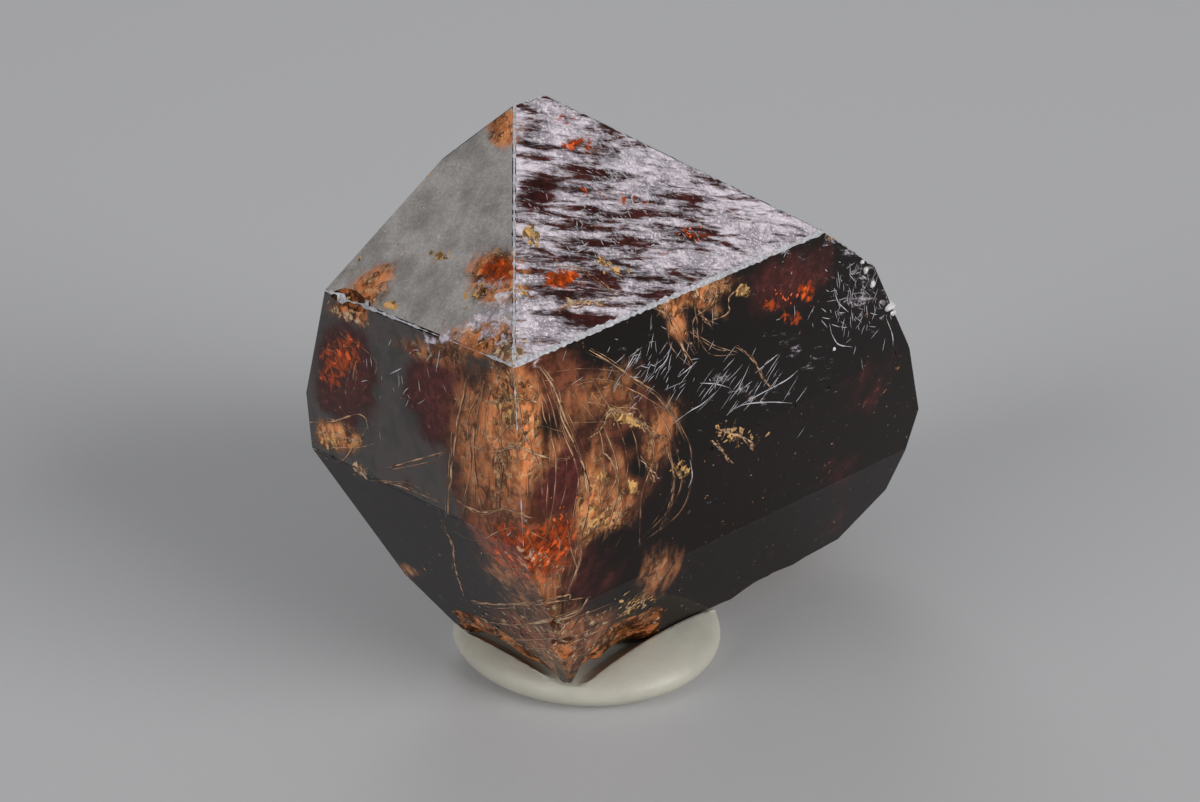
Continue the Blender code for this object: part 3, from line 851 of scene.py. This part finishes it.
    # Red: painted fire, its glows dim and its small cells bright as painted glints
    embers = tree.mix(tree.ramp(fine, 0.36, 0.66), times(look.red, 0.16), times(look.red, 0.85))
    over(tree.mix(tree.ramp(small, 0.86, 0.92), embers, times(look.red, 1.6)), red, 0.85)
    rubble = tree.mix(tree.ramp(shade, 0.75, 1.15), times(look.amber, 0.10), times(look.amber, 0.9))
    over(tree.mix(tree.ramp(fine, 0.58, 0.72), rubble, look.cream), broken, 0.92)
    chips = tree.mix(tree.ramp(small, 0.3, 0.8), times(look.cream, 0.30), times(look.cream, 1.25))
    over(tree.mix(tree.ramp(fine, 0.40, 0.56), times(look.amber, 0.3), chips), cream)
    over(tree.mix(tree.ramp(small, 0.2, 0.8), times(look.gold, 0.25), look.gold), gold)
    colour, film = layers[-1]
    colour = tree.mix(tree.ramp(film, 0.0, 0.14), look.clear_tint, colour)

    # Light passes where no film lies, and is taken on its way through the crystal
    hazed = tree.maths("MAXIMUM", tree.mark("haze"), 0.0)
    crumbled = tree.maths("MAXIMUM", tree.mark("cream"), broken)
    tree.set(base_color=colour, roughness=tree.ramp(hazed, 0.1, 0.7, 0.07, 0.34), ior=look.ior,
             specular_ior_level=tree.ramp(tree.mark("smoke"), 0.4, 0.75, look.shine, 0.02),
             specular_tint=(look.glare, look.glare, look.glare),
             transmission_weight=tree.maths("SUBTRACT", 1.0, film, True))
    scored = tree.noise(1.0, 3.0, 0.7, tree.along((0.5, 0.14, 0.10), STREAK_TURN), 1.0)
    height = tree.maths("ADD", tree.maths("MULTIPLY", scored, hazed),
                        tree.maths("MULTIPLY", fine, tree.maths("MULTIPLY", crumbled, 4.0)))
    tree.bump(height, 0.4, 0.02 * MM)
    inside = tree.add("ShaderNodeVolumeAbsorption").node
    inside.inputs["Color"].default_value = (*look.depth_colour, 1.0)
    inside.inputs["Density"].default_value = look.depth_density
    output = tree.nodes["Material Output"]
    tree.links.new(inside.outputs[0], output.inputs["Volume"])
    return tree.material


def plain_material(name, colour, roughness, dark, scale):
    """One colour that grows darker in spots, down to the share dark of itself. The spots are finer
    the larger the scale is. For lines, flakes and nodules."""
    tree = Tree(name)
    spots = tree.ramp(tree.noise(scale, 5.0, 0.65), 0.3, 0.7)
    tree.set(base_color=tree.mix(spots, times(colour, dark), colour),
             roughness=tree.ramp(spots, 0.0, 1.0, roughness * 1.3, roughness))
    tree.bump(tree.noise(scale * 3.0, 4.0), 0.4, 0.01 * MM)
    return tree.material


def putty_material(look):
    """Creamy putty with faint mottling, warmer low down, and the marks of fingers."""
    tree = Tree("putty_satin")
    cloud = tree.noise(0.55, 5.0, 0.6)
    dust = tree.noise(14.0, 4.0, 0.7)
    colour = tree.mix(tree.ramp(cloud, 0.35, 0.65), times(look.colour, 0.86), look.colour)
    height = tree.add("ShaderNodeSeparateXYZ", tree.place).node.outputs[2]
    colour = tree.mix(tree.ramp(height, 0.5, 0.0, 0.0, 0.35), colour,
                      (look.colour[0], look.colour[1] * 0.88, look.colour[2] * 0.68))
    colour = tree.mix(tree.ramp(dust, 0.62, 0.75, 0.0, 0.25), colour, (0.16, 0.13, 0.09))
    tree.set(base_color=colour, roughness=look.roughness, specular_ior_level=0.4,
             subsurface_weight=0.15)
    tree.shader.inputs["Subsurface Radius"].default_value = (1.0, 0.8, 0.5)
    tree.shader.inputs["Subsurface Scale"].default_value = 0.4 * MM
    ridges = tree.noise(1.0, 3.0, 0.6, tree.along((0.7, 0.7, 0.2)), 0.6)
    tree.bump(tree.maths("ADD", ridges, tree.maths("MULTIPLY", dust, 0.25)), 0.25, 0.06 * MM)
    return tree.material


def floor_material(look):
    """Matt pale grey with a faint grain."""
    tree = Tree("floor_matt")
    grain = tree.noise(3.0, 4.0, 0.6)
    tree.set(base_color=tree.mix(grain, times(look.floor, 0.97), look.floor), roughness=0.75,
             specular_ior_level=0.2)
    return tree.material


def finer_copy(node):
    """A copy of a solid's mesh in millimetres, merged, its flat faces made whole and then divided by
    planes into cells, so that every corner can carry marks."""
    shape = bmesh.new()
    shape.from_mesh(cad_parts[node].data)
    bmesh.ops.scale(shape, vec=(1.0 / MM,) * 3, verts=shape.verts)
    bmesh.ops.remove_doubles(shape, verts=shape.verts, dist=1e-4)
    bmesh.ops.dissolve_limit(shape, angle_limit=math.radians(0.2), verts=shape.verts,
                             edges=shape.edges)
    lows, highs = (np.array(corner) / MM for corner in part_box(node))
    for axis in range(3):
        normal = np.eye(3)[axis]
        for level in np.arange(lows[axis] + CELL, highs[axis], CELL):
            bmesh.ops.bisect_plane(
                shape, geom=shape.verts[:] + shape.edges[:] + shape.faces[:], dist=1e-5,
                plane_co=tuple(normal * level), plane_no=tuple(normal))
    bmesh.ops.triangulate(shape, faces=[face for face in shape.faces if len(face.verts) > 4])
    return shape


def patch_strength(points, spots):
    """The sum of soft oval spots. Each spot's centre lies on the crystal, and its axes lie across
    the photograph. Its strength falls as 1 - d squared, to the power of SPOT_FALL, out to d = 1,
    where d is the distance in half-sizes, each stretched by SPOT_STRETCH. Towards the camera and
    away from it, a spot reaches SPOT_DEPTH millimetres."""
    total = np.zeros(len(points))
    for x, y, wide, high, turn, strength in spots:
        (centre,), _ = on_crystal([(x, y)])
        pixel = np.linalg.norm(centre - np.array(CAMERA_PLACE)) / FOCAL_PIXELS
        angle = math.radians(turn)
        right = CAMERA_AXES[:, 0] * math.cos(angle) - CAMERA_AXES[:, 1] * math.sin(angle)
        up = CAMERA_AXES[:, 0] * math.sin(angle) + CAMERA_AXES[:, 1] * math.cos(angle)
        away = points - centre
        across = (away @ right) / (wide * pixel * SPOT_STRETCH)
        along = (away @ up) / (high * pixel * SPOT_STRETCH)
        ahead = (away @ CAMERA_AXES[:, 2]) / SPOT_DEPTH
        total += strength * np.clip(1 - across ** 2 - along ** 2 - ahead ** 2, 0, 1) ** SPOT_FALL
    return total


class ZirconCrystal(bpy.types.Operator):
    """Makes the crystal: a finer copy of the solid whose corners carry films, patches and breaks,
    some of them painted glows, sheen, reflection and shade.
    """
    bl_idname = "zircon.crystal"
    bl_label = "Crystal"

    def execute(self, context):
        shape = finer_copy("zircon_crystal")
        mesh = bpy.data.meshes.new("crystal")
        shape.to_mesh(mesh)
        shape.free()
        points = read(mesh.vertices, "co", 3)
        corners = read(mesh.loops, "vertex_index", kind=int)
        normals = read(mesh.polygons, "normal", 3)
        centres = read(mesh.polygons, "center", 3)
        counts = read(mesh.polygons, "loop_total", kind=int)
        gaps = np.abs(centres @ NORMALS.T - HEIGHTS)
        away = np.where(normals @ NORMALS.T < SAME_DIRECTION, np.inf, gaps)
        face = np.where(away.min(1) < ON_FACE, away.argmin(1), -1)
        broken = ((face < 0) & (np.sort(gaps, 1)[:, 1] > BREAK_DEPTH)).astype(float)
        corner_face = np.repeat(face, counts)
        films = np.array([FACE_FILMS.get(name, OTHER_FACE_FILM) for name in FACE_NAMES]
                         + [OTHER_FACE_FILM])
        at_corner = points[corners]
        marks = {name: patch_strength(at_corner, spots.values()) for name, spots in PATCHES.items()}
        clear = marks.pop("clear")
        marks["haze"] += films[corner_face, 1]
        marks["wine"] += films[corner_face, 2]
        marks = {name: values - CLEARING * clear * (name != "wine") for name, values in marks.items()}
        marks["grey"] = films[corner_face, 0] * (1 - np.clip(clear, 0, 1))
        # The smoke marks paint shade on the downward faces, over the crystal's own dark film
        marks["smoke"] = films[corner_face, 3]
        marks["broken"] = np.repeat(broken, counts)
        for name, values in marks.items():
            layer = mesh.attributes.new(name, "FLOAT", "CORNER")
            layer.data.foreach_set("value", np.clip(values, *MARK_RANGE).astype(np.float32))
        mesh.vertices.foreach_set("co", (points * MM).ravel())
        mesh.update()
        mesh.materials.append(crystal_material(context.scene.zircon_crystal))
        piece = bpy.data.objects.new("crystal", mesh)
        context.scene.collection.objects.link(piece)
        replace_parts(keep(piece), "zircon_crystal")
        return {"FINISHED"}


def ridge_ends(first, second):
    """The two ends of the ridge where two faces meet: points of their common line, cut off by every
    other plane."""
    a, b = FACE_NAMES.index(first), FACE_NAMES.index(second)
    along = np.cross(NORMALS[a], NORMALS[b])
    along /= np.linalg.norm(along)
    start = np.linalg.solve(np.stack((NORMALS[a], NORMALS[b], along)),
                            np.array((HEIGHTS[a], HEIGHTS[b], 0.0)))
    slope, gap = NORMALS @ along, HEIGHTS - NORMALS @ start
    others = np.abs(slope) > 1e-6
    reach = gap[others] / slope[others]
    low = reach[slope[others] < 0].max()
    high = reach[slope[others] > 0].min()
    if high <= low:
        raise ValueError("the faces %s and %s don't meet" % (first, second))
    return start + along * low, start + along * high


class WornAndLitEdges(bpy.types.Operator):
    """Makes the bright strips on the ridges, partly wear and partly painted highlight: along each ridge a
    narrow profile of four points, folded over the ridge, whose width wanders and runs out where the
    edge isn't worn."""
    bl_idname = "zircon.worn_edges"
    bl_label = "Worn edges"

    def execute(self, context):
        look = context.scene.zircon_crystal
        lift = look.strip_lift / MM
        all_rows, all_faces, first_point = [], [], 0
        for first, second, wide_a, wide_b, wear_and_highlight in WORN_AND_LIT_RIDGES.values():
            start, end = ridge_ends(first, second)
            length = np.linalg.norm(end - start)
            steps = max(8, int(length / STRIP_STEP))
            t = np.linspace(0, 1, steps)
            along = (end - start) / length
            path = start + (end - start) * t[:, None]
            a, b = NORMALS[FACE_NAMES.index(first)], NORMALS[FACE_NAMES.index(second)]
            into_a = np.cross(a, along) * np.sign(-np.dot(np.cross(a, along), b))
            into_b = np.cross(b, along) * np.sign(-np.dot(np.cross(b, along), a))
            waves = smooth_noise(t * length, 0.45) * 0.6 + smooth_noise(t * length, 0.14) * 0.4
            cover = np.clip((waves - (1 - wear_and_highlight)) * 3.0 + 0.35, 0, 1)
            fine = 0.35 + 1.1 * smooth_noise(t * length, 0.1)
            out_a = (wide_a * cover * fine)[:, None]
            out_b = (wide_b * cover * fine)[:, None]
            rows = np.stack((path + into_a * out_a + a * lift, path + into_a * out_a * 0.3 + a * lift,
                             path + into_b * out_b * 0.3 + b * lift, path + into_b * out_b + b * lift), 1)
            if np.dot(np.cross(along, into_b - into_a), a + b) < 0:
                rows = rows[:, ::-1]
            all_rows.append(rows.reshape(-1, 3))
            all_faces.append(grid_faces(1, steps, 4) + first_point)
            first_point += steps * 4
        material = plain_material("edge_worn", look.wear_and_highlight, roughness=0.32, dark=0.45, scale=11.0)
        piece = set_mesh("worn_edges", np.concatenate(all_rows), np.concatenate(all_faces), material)
        keep(settle(piece, lift))
        return {"FINISHED"}


def smooth_noise(places, step):
    """Random numbers from 0 to 1 at every step, blended by a cosine between them."""
    count = int(places.max() / step) + 3
    values = random_source.random(count)
    cell = places / step
    low = np.floor(cell).astype(int)
    part = (1 - np.cos((cell - low) * np.pi)) / 2
    return values[low] * (1 - part) + values[low + 1] * part


def smooth_path(pixels, steps):
    """Points on the crystal along a smooth curve through the pixels: each piece of the curve is a
    cubic whose slope at a pixel runs between that pixel's two neighbours."""
    pixels = np.array(pixels, float)
    padded = np.concatenate((2 * pixels[:1] - pixels[1:2], pixels, 2 * pixels[-1:] - pixels[-2:-1]))
    t = np.linspace(0, len(pixels) - 1, steps)
    low = np.minimum(t.astype(int), len(pixels) - 2)
    u = (t - low)[:, None]
    p0, p1, p2, p3 = (padded[low + k] for k in range(4))
    curve = 0.5 * (2 * p1 + (p2 - p0) * u + (2 * p0 - 5 * p1 + 4 * p2 - p3) * u ** 2
                   + (3 * p1 - p0 - 3 * p2 + p3) * u ** 3)
    return on_crystal(curve)


class CrackLines(bpy.types.Operator):
    """Makes the bright lines where cracks reach the surface, each with a wider dark line of painted
    shadow
    beside it: ribbons along smooth curves, with a width that wanders and runs out at both ends."""
    bl_idname = "zircon.cracks"
    bl_label = "Cracks"

    def execute(self, context):
        look = context.scene.zircon_crystal
        t = np.linspace(0, 1, CRACK_STEPS)
        lines = [(np.array(pixels) + random_source.normal(0, STRAND_STRAY * strand, (len(pixels), 2)),
                  width / (1 + 0.9 * strand))
                 for pixels, width in CRACKS.values() for strand in range(CRACK_STRANDS)]
        for first, last, count, width in CRACK_FANS.values():
            first, last = np.array(first, float), np.array(last, float)
            for across in np.linspace(0, 1, count):
                middle = first + (last - first) * (across + random_source.normal(0, 0.4 / count))
                stray = random_source.normal(0, FAN_STRAY, first.shape)
                lines.append((middle + stray, width * random_source.uniform(0.4, 1.1)))
        bright, dark = [], []
        for pixels, width in lines:
            wobble = (0.05 * (smooth_noise(t * 3, 0.25) - 0.5))[:, None]
            taper = np.sin(np.pi * np.clip(t, 0.02, 0.98)) ** 0.4
            wander = np.clip(smooth_noise(t * 4, 0.20) * 1.7 - 0.45, 0.10, 1.1)
            # The dark ribbon, moved a pixel aside, is a painted shadow of the crack
            for kind, shift, wide in ((bright, 0.0, 0.78), (dark, 1.0, 1.1)):
                points, face = smooth_path(pixels + np.array((shift, shift * 0.4)), CRACK_STEPS)
                points += np.cross(NORMALS[face], CAMERA_AXES[:, 1]) * wobble
                kind.append((points, NORMALS[face],
                             np.repeat((width * wide * taper * wander)[:, None], 3, 1)))
        for name, kind, lift, material in (
                ("crack_lines", bright, 1.0,
                 plain_material("crack_tan", look.crack, roughness=0.25, dark=0.35, scale=4.0)),
                ("crack_shadows", dark, 0.5,
                 plain_material("crack_brown", look.crack_shadow, roughness=0.4, dark=0.4,
                                scale=6.0))):
            paths, normals, widths = np.array(kind).transpose(1, 0, 2, 3)
            rows, faces = ribbons(paths, normals, widths[..., 0], lift * look.strip_lift / MM)
            keep(settle(set_mesh(name, rows, faces, material), lift * look.strip_lift / MM))
        return {"FINISHED"}


def short_strokes(centres, face, directions, lengths, bends, steps=5):
    """Curved strokes in the faces: from each centre, to both sides along its direction, bending
    sideways with the square of the distance."""
    normals = NORMALS[face]
    along = unit(directions - normals * (directions * normals).sum(-1, keepdims=True))
    side = np.cross(normals, along)
    t = np.linspace(-0.5, 0.5, steps)[None, :, None]
    lengths, bends = lengths[:, None, None], bends[:, None, None]
    paths = centres[:, None] + along[:, None] * t * lengths + side[:, None] * t ** 2 * bends * lengths
    return paths, np.repeat(normals[:, None], steps, 1)


class Scratches(bpy.types.Operator):
    """Makes the fine white scratches: short bent strokes spread over fields, and the long ones, a few of
    which are painted glints.
    """
    bl_idname = "zircon.scratches"
    bl_label = "Scratches"

    def execute(self, context):
        look = context.scene.zircon_crystal
        lift, width = look.strip_lift / MM, look.scratch_width / MM
        all_points, all_faces = [], []

        def add(paths, normals, widths):
            """Adds ribbons to those made so far."""
            rows, faces = ribbons(paths, normals, widths, lift)
            all_faces.append(faces + sum(len(points) for points in all_points))
            all_points.append(rows.reshape(-1, 3))

        for x, y, wide, high, count, turn, stray, length in SCRATCH_FIELDS.values():
            spread = random_source.normal(0, 0.5, (count, 2)) * (wide, high)
            centres, face = on_crystal(np.array((x, y)) + spread)
            angle = np.radians(turn + random_source.normal(0, stray, count))
            directions = (CAMERA_AXES[:, 0] * np.cos(angle)[:, None]
                          + CAMERA_AXES[:, 1] * np.sin(angle)[:, None])
            lengths = length * random_source.uniform(0.4, 1.9, count)
            paths, normals = short_strokes(centres, face, directions, lengths,
                                           random_source.normal(0, 0.12, count))
            taper = np.array((0.1, 0.8, 1.0, 0.8, 0.1))
            widths = taper * (width * random_source.uniform(0.6, 1.6, count))[:, None]
            inside = (paths @ NORMALS.T - HEIGHTS).max(-1).max(-1) < STROKE_PAST
            add(paths[inside], normals[inside], widths[inside])
        t = np.linspace(0, 1, LONG_SCRATCH_STEPS)
        for pixels in LONG_SCRATCHES.values():
            points, face = smooth_path(pixels, LONG_SCRATCH_STEPS)
            widths = 1.9 * width * np.sin(np.pi * np.clip(t, 0.03, 0.97)) ** 0.6
            widths = widths * (0.5 + smooth_noise(t * 3, 0.3))
            add(points[None], NORMALS[face][None], widths[None])
        material = plain_material("scratch_white", look.wear_and_highlight, roughness=0.45, dark=0.7, scale=5.0)
        piece = set_mesh("scratches", np.concatenate(all_points), np.concatenate(all_faces), material)
        keep(settle(piece, lift))
        return {"FINISHED"}


class Flakes(bpy.types.Operator):
    """Makes clusters of small thin flakes: six-sided plates whose corners stray, each tipped a
    little out of the face that it lies in."""
    bl_idname = "zircon.flakes"
    bl_label = "Flakes"

    def execute(self, context):
        look = context.scene.zircon_crystal
        # The red fire flakes are painted glints, and so are the cream flakes of the glint and sparkle
        # clusters
        materials = {
            "gold": plain_material("flake_gold", look.gold, roughness=0.28, dark=0.25, scale=9.0),
            "cream": plain_material("flake_cream", look.cream, roughness=0.38, dark=0.35, scale=9.0),
            "fire": plain_material("flake_red", times(look.red, 1.8), roughness=0.3, dark=0.4,
                                   scale=9.0),
        }
        for kind, material in materials.items():
            chosen = [cluster for cluster in FLAKES.values() if cluster[-1] == kind]
            centres, sizes = [], []
            for x, y, wide, high, count, size, _ in chosen:
                spread = random_source.normal(0, 0.5, (count, 2)) * (wide, high)
                centres.append(on_crystal(np.array((x, y)) + spread)[0])
                sizes.append(size * random_source.uniform(0.25, 1.0, count) ** 1.3)
            centres, normals = on_surface(np.concatenate(centres))
            sizes = np.concatenate(sizes)
            tipped = unit(normals + random_source.normal(0, FLAKE_TIP, normals.shape))
            first = unit(np.cross(tipped, random_source.normal(0, 1, normals.shape)))
            second = np.cross(tipped, first)
            angle = np.linspace(0, 2 * np.pi, FLAKE_SIDES, endpoint=False)
            radius = sizes[:, None] * random_source.uniform(0.35, 0.75, (len(sizes), FLAKE_SIDES))
            narrow = random_source.uniform(0.25, 0.9, len(sizes))[:, None]
            ring = (first[:, None] * (np.cos(angle) * radius)[..., None]
                    + second[:, None] * (np.sin(angle) * radius * narrow)[..., None])
            above = (ring * normals[:, None]).sum(-1).max(-1)
            ring += (centres - normals * (above - FLAKE_LIFT)[:, None])[:, None]
            middle = ring.mean(1, keepdims=True) + tipped[:, None] * FLAKE_RISE
            points = np.concatenate((ring, middle), 1)
            corner = np.arange(FLAKE_SIDES)
            fan = np.stack((corner, np.roll(corner, -1), np.full(FLAKE_SIDES, FLAKE_SIDES)), 1)
            triangles = fan[None] + (np.arange(len(points)) * (FLAKE_SIDES + 1))[:, None, None]
            piece = set_mesh("flakes_" + kind, points, triangles.reshape(-1, 3), material, False)
            keep(piece)
        return {"FINISHED"}


class Nodules(bpy.types.Operator):
    """Makes the white nodules on the right edge: balls whose radius wanders with two slow waves
    of the two angles."""
    bl_idname = "zircon.nodules"
    bl_label = "White nodules"

    def execute(self, context):
        rows, columns = 13, 20
        tall = np.linspace(0, np.pi, rows)[:, None]
        round_about = np.linspace(0, 2 * np.pi, columns)[None, :]
        balls = []
        for seed, (x, y, radius) in enumerate(NODULES.values()):
            (centre,), (face,) = on_crystal([(x, y)])
            centre = centre - NODULE_SINK * radius * NORMALS[face]
            swell = radius * (1 + 0.16 * np.sin(3 * round_about + seed) * np.sin(tall) ** 2
                              + 0.10 * np.cos(4 * tall + 2 * seed))
            balls.append(np.stack((
                centre[0] + swell * np.sin(tall) * np.cos(round_about),
                centre[1] + swell * np.sin(tall) * np.sin(round_about),
                centre[2] + 0.8 * swell * np.cos(tall) * np.ones_like(round_about)), -1))
        look = context.scene.zircon_crystal
        material = plain_material("nodule_white", look.nodule, roughness=0.3, dark=0.7, scale=12.0)
        piece = set_mesh("nodules", np.array(balls), grid_faces(len(balls), rows, columns)[:, ::-1],
                         material)
        close_seams(piece)
        keep(piece)
        return {"FINISHED"}


def close_seams(piece):
    """Merges the doubled points of seams and poles and turns all faces outwards."""
    shape = bmesh.new()
    shape.from_mesh(piece.data)
    bmesh.ops.remove_doubles(shape, verts=shape.verts, dist=1e-7)
    bmesh.ops.recalc_face_normals(shape, faces=shape.faces)
    shape.to_mesh(piece.data)
    shape.free()


class Putty(bpy.types.Operator):
    """Makes the putty: a squashed ball as a function of two angles, flat on the ground, pressed
    flatter behind, with the crystal's underside pressed into its top."""
    bl_idname = "zircon.putty"
    bl_label = "Putty"

    def execute(self, context):
        look = context.scene.zircon_putty
        rows, columns = look.rings, look.rings * 2
        tall = np.linspace(0, np.pi, rows)[:, None] * np.ones((1, columns))
        about = np.linspace(0, 2 * np.pi, columns)[None, :] * np.ones((rows, 1))
        ball = np.stack((np.sin(tall) * np.cos(about), np.sin(tall) * np.sin(about), np.cos(tall)), -1)
        swell = 1 + 0.012 * np.sin(2 * about + 1.0) * np.sin(tall) + 0.008 * np.sin(3 * about - 0.6)
        points = PUTTY_MIDDLE + ball * PUTTY_RADII * swell[..., None]
        bend = PUTTY_BACK - PUTTY_BACK_SOFTNESS
        past = np.maximum(points[..., 1] - bend, 0.0) / PUTTY_BACK_SOFTNESS
        points[..., 1] = np.minimum(points[..., 1], bend) + PUTTY_BACK_SOFTNESS * np.tanh(past)
        points[..., 2] = np.maximum(points[..., 2], 0.0)
        points = points.reshape(-1, 3)
        for _ in range(PRESS_PASSES):
            above = points @ NORMALS.T - HEIGHTS - PRESS_GAP
            nearest = above.argmax(1)
            inside = above.max(1) < 0
            below = inside & (NORMALS[nearest, 2] < PRESS_SLOPE) & (points[:, 2] > PRESS_HEIGHT)
            points = points - (above.max(1) * below)[:, None] * NORMALS[nearest]
        points[:, 2] = np.maximum(points[:, 2], 0.0)
        piece = set_mesh("putty_lump", points, grid_faces(1, rows, columns)[:, ::-1],
                         putty_material(look))
        close_seams(piece)
        keep(piece)
        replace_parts(piece, "white_putty")
        return {"FINISHED"}


def soft_light(name, direction, watts):
    """A square light that faces the crystal's middle from the direction given."""
    light = bpy.data.lights.new(name, "AREA")
    light.shape = "SQUARE"
    light.size = LIGHT_SIZE * MM
    light.energy = watts
    lamp = bpy.data.objects.new(name, light)
    away = np.array(direction) / np.linalg.norm(direction)
    lamp.location = (away * LIGHT_DISTANCE + np.array((0, 0, LIGHT_AIM))) * MM
    lamp.rotation_euler = Vector(away).to_track_quat("Z", "Y").to_euler()
    lamp.visible_camera = False
    bpy.context.scene.collection.objects.link(lamp)


class Stage(bpy.types.Operator):
    """Makes the pale floor, the soft lights, the even sky and the photograph's camera."""
    bl_idname = "zircon.stage"
    bl_label = "Stage"

    def execute(self, context):
        scene = context.scene
        look = scene.zircon_stage
        corners = np.array(((-1, -1, 0), (1, -1, 0), (1, 1, 0), (-1, 1, 0))) * FLOOR_HALF
        floor = set_mesh("floor", corners, np.array([[0, 1, 2, 3]]), floor_material(look), False)
        for name, (direction, setting) in LIGHTS.items():
            soft_light(name, direction, getattr(look, setting))
        world = bpy.data.worlds.new("even_sky")
        world.use_nodes = True
        background = world.node_tree.nodes["Background"]
        background.inputs["Color"].default_value = SKY_COLOUR
        background.inputs["Strength"].default_value = look.sky
        scene.world = world
        scene.view_settings.view_transform = "Standard"
        camera = bpy.data.cameras.new("camera")
        camera.sensor_width = SENSOR_WIDTH
        camera.lens = FOCAL_PIXELS * SENSOR_WIDTH / PHOTO_SIZE[0]
        camera.clip_start, camera.clip_end = (reach * MM for reach in CAMERA_REACH)
        eye = bpy.data.objects.new("camera", camera)
        eye.location = np.array(CAMERA_PLACE) * MM
        eye.rotation_euler = [math.radians(a) for a in CAMERA_TURN]
        scene.collection.objects.link(eye)
        scene.camera = eye
        return {"FINISHED"}


class ZirconPanel(bpy.types.Panel):
    """Offers every operator and every setting in the sidebar."""
    bl_idname = "VIEW3D_PT_zircon"
    bl_label = "Zircon crystal"
    bl_space_type = "VIEW_3D"
    bl_region_type = "UI"
    bl_category = "Zircon"

    def draw(self, context):
        for operator in OPERATORS:
            self.layout.operator(operator.bl_idname)
        for group in (context.scene.zircon_crystal, context.scene.zircon_putty,
                      context.scene.zircon_stage):
            box = self.layout.box()
            for name in group.bl_rna.properties.keys():
                if name not in ("rna_type", "name"):
                    box.prop(group, name)


OPERATORS = (Stage, ZirconCrystal, WornAndLitEdges, CrackLines, Scratches, Flakes, Nodules, Putty)
GROUPS = {"zircon_crystal": CrystalLook, "zircon_putty": PuttyLook, "zircon_stage": StageLook}


def register():
    """Makes the settings, the operators and the panel known."""
    for name, group in GROUPS.items():
        bpy.utils.register_class(group)
        setattr(bpy.types.Scene, name, PointerProperty(type=group))
    for kind in (*OPERATORS, ZirconPanel):
        bpy.utils.register_class(kind)


def unregister():
    """Takes back what register does."""
    for kind in (ZirconPanel, *reversed(OPERATORS)):
        bpy.utils.unregister_class(kind)
    for name, group in GROUPS.items():
        delattr(bpy.types.Scene, name)
        bpy.utils.unregister_class(group)


def main():
    """Builds everything."""
    register()
    bpy.ops.zircon.stage()
    bpy.ops.zircon.crystal()
    bpy.ops.zircon.worn_edges()
    bpy.ops.zircon.cracks()
    bpy.ops.zircon.scratches()
    bpy.ops.zircon.flakes()
    bpy.ops.zircon.nodules()
    bpy.ops.zircon.putty()


if __name__ == "__main__":
    main()
